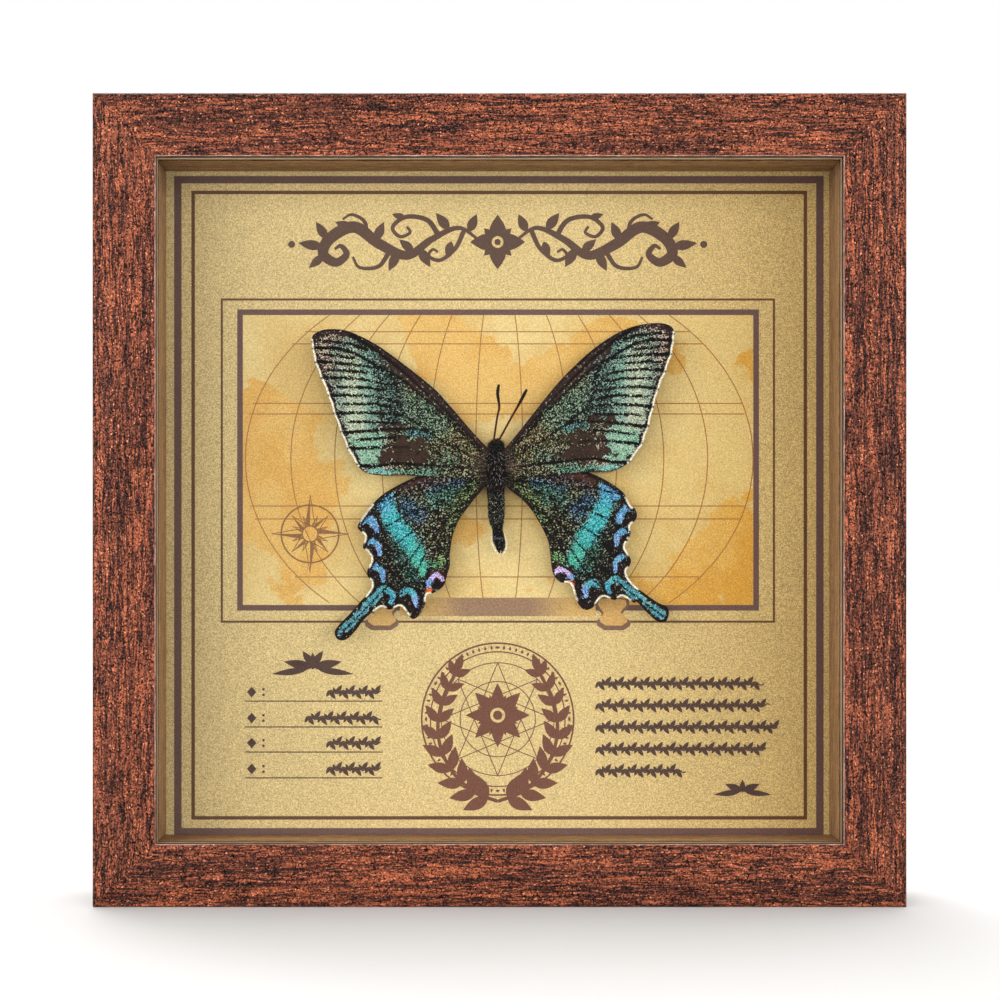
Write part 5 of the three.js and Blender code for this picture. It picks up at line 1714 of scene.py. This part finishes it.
board_material, tree, shader = new_material("hardboard")
place = own_place(tree)
fibres = grain(tree, stretched(tree, place, (900, 900, 260)), 1.0, 3.0, 0.6)
crossed = grain(tree, stretched(tree, place, (240, 900, 1000)), 1.0, 3.0, 0.6)
clouds = grain(tree, place, 40.0, 4.0)
chips = sums(tree, "MAXIMUM", stepped(tree, fibres, 0.52, 0.7), stepped(tree, crossed, 0.52, 0.7))
tint = blended(tree, stepped(tree, clouds, 0.3, 0.7), colour(142, 108, 76), colour(160, 126, 92))
tint = blended(tree, chips, tint, colour(118, 86, 58))
tint = blended(tree, stepped(tree, grain(tree, place, 2400.0), 0.62, 0.75), tint, colour(190, 160, 124))
feed(tree, shader, Base_Color=tint, Roughness=0.85)
bumped(tree, shader, minus(tree, fibres, chips), 0.08 * MM, 0.6)
board = worked("back_board", "hardboard_back", 0.2 * MM)
board.data.materials.append(board_material)
settle(board, "back_board", "back_board")

# ---------------------------------------------------------------------------- tabs
# Eight springy tabs of zinc-plated sheet steel, punched out and pushed into slots in the rails. They bend
# aside to let the back board out.
def metal_material(name, base, worn, roughness, brushed):
    material, tree, shader = new_material(name)
    place = own_place(tree)
    drawn = grain(tree, stretched(tree, place, brushed), 1.0, 3.0, 0.6)
    bloom = grain(tree, place, 420.0, 4.0, 0.6)
    tint = blended(tree, stepped(tree, bloom, 0.35, 0.7), base, worn)
    rough = plus(tree, times(tree, drawn, 0.3), roughness)
    feed(tree, shader, Base_Color=tint, Metallic=1.0, Roughness=rough)
    bumped(tree, shader, drawn, 0.01 * MM, 0.5)
    return material


zinc = metal_material("zinc_plate", colour(196, 198, 202), colour(168, 172, 180), 0.2, (300, 4000, 4000))
for place in ("bottom", "right", "top", "left"):
    for label in "ab":
        tab = worked(f"tab_{place}_{label}", f"flexible_tab_{place}_{label}", 0.12 * MM)
        tab.data.materials.append(zinc)
        settle(tab, "tab_steel", f"tab_{place}_{label}")

# ---------------------------------------------------------------------------- hanger
# A sawtooth hanger pressed from yellow-passivated sheet steel, held on the back board by two domed nails.
brassy, browned = colour(206, 178, 112), colour(182, 150, 118)
passivated = metal_material("passivated_steel", brassy, browned, 0.22, (260, 3200, 3200))
hanger = worked("sawtooth_hanger", "sawtooth_bar", 0.1 * MM)
hanger.data.materials.append(passivated)
settle(hanger, "hanger_steel", "sawtooth_hanger")
for side in ("left", "right"):
    nail = worked(f"hanger_nail_{side}", f"domed_nail_{side}", 0.08 * MM, angle=50)
    nail.data.materials.append(passivated)
    settle(nail, "hanger_steel", f"hanger_nail_{side}")

# ---------------------------------------------------------------------------- studio
# A wide pale floor under a white sky, two broad soft lamps in front, above and to the sides.
bpy.ops.object.select_all(action="DESELECT")
bpy.ops.mesh.primitive_circle_add(vertices=96, radius=9.0, fill_type="NGON", location=(0, 0, 0))
floor = bpy.context.object
floor.name = floor.data.name = "studio_floor"
material, tree, shader = new_material("studio_floor")
place = own_place(tree)
pale = blended(tree, grain(tree, place, 3.0, 3.0), (0.86, 0.86, 0.86, 1), (0.88, 0.88, 0.88, 1))
feed(tree, shader, Base_Color=pale, Roughness=0.9, Specular_IOR_Level=0.0)
floor.data.materials.append(material)
floor.visible_glossy = floor.visible_transmission = False

skylight, white = (0.42, 0.42, 0.42, 1), (1.0, 1.0, 1.0, 1)
dim_mirrored, bright_mirrored = (0.08, 0.08, 0.08, 1), (0.6, 0.6, 0.6, 1)
scene = bpy.context.scene
world = scene.world or bpy.data.worlds.new("studio")
scene.world = world
world.use_nodes = True
sky = world.node_tree
sky.nodes.clear()
path = add(sky, "ShaderNodeLightPath")
seen = blended(sky, path.outputs["Is Camera Ray"], skylight, white)
heading = add(sky, "ShaderNodeTexCoord").outputs["Generated"]
toward = add(sky, "ShaderNodeSeparateXYZ", {0: heading}).outputs["Y"]
mirrored = blended(sky, stepped(sky, toward, -0.1, 0.4), dim_mirrored, bright_mirrored)
bounced = sums(sky, "MAXIMUM", path.outputs["Is Glossy Ray"], path.outputs["Is Transmission Ray"])
seen = blended(sky, bounced, seen, mirrored)
backdrop = add(sky, "ShaderNodeBackground", {"Color": seen, "Strength": 1.0})
sky.links.new(backdrop.outputs[0], add(sky, "ShaderNodeOutputWorld").inputs["Surface"])


def lit(name, kind, energy, place, tilt, turn=0.0):
    """A lamp that hangs at the place, tilted up from straight down and turned about Z."""
    lamp = bpy.data.lights.new(name, kind)
    lamp.energy = energy
    holder = bpy.data.objects.new(name, lamp)
    bpy.context.collection.objects.link(holder)
    holder.location = place
    holder.rotation_euler = (math.radians(tilt), 0, math.radians(turn))
    return holder


for name, across, elevation, strength, spread in (
    ("lamp_left", -36, 12, 0.88, 30),
    ("lamp_right", 38, 10, 0.78, 30),
    ("lamp_front", 0, 24, 0.5, 40),
    ("lamp_above", 180, 78, 1.9, 40),
    ("lamp_behind", 200, 40, 0.9, 40),
):
    sun = lit(name, "SUN", strength, (0, 0, 0), 90 - elevation, across)
    sun.data.angle = math.radians(spread)
    sun.data.color = (1.0, 0.985, 0.96)

# A long low lamp near the floor in front lifts the underside of the top lip and spacer.
low_lamp = lit("lamp_low", "AREA", 6.5, (0, -1.1, 0.07), 94)
low_lamp.data.shape = "RECTANGLE"
low_lamp.data.size, low_lamp.data.size_y = 0.9, 0.12
for lamp in (bpy.data.objects["lamp_front"], low_lamp):
    lamp.visible_glossy = lamp.visible_transmission = False

# The camera looks level along +Y, a little left of the middle and below it.
view_distance = 480 * MM
view_width = 245.4 * MM
camera = bpy.data.objects.new("camera", bpy.data.cameras.new("camera"))
bpy.context.collection.objects.link(camera)
camera.data.lens = camera.data.sensor_width * view_distance / view_width
view_x, view_z, picture_middle = -12.1 * MM, 81.6 * MM, 0.1 * MM
camera.location = (view_x, front_y - view_distance, view_z)
camera.rotation_euler = (math.pi / 2, 0, 0)
camera.data.shift_x = (picture_middle - view_x) / view_width
camera.data.shift_y = (centre_z - view_z) / view_width
camera.data.clip_start = 0.01
scene.camera = camera
scene.view_settings.view_transform = "Standard"
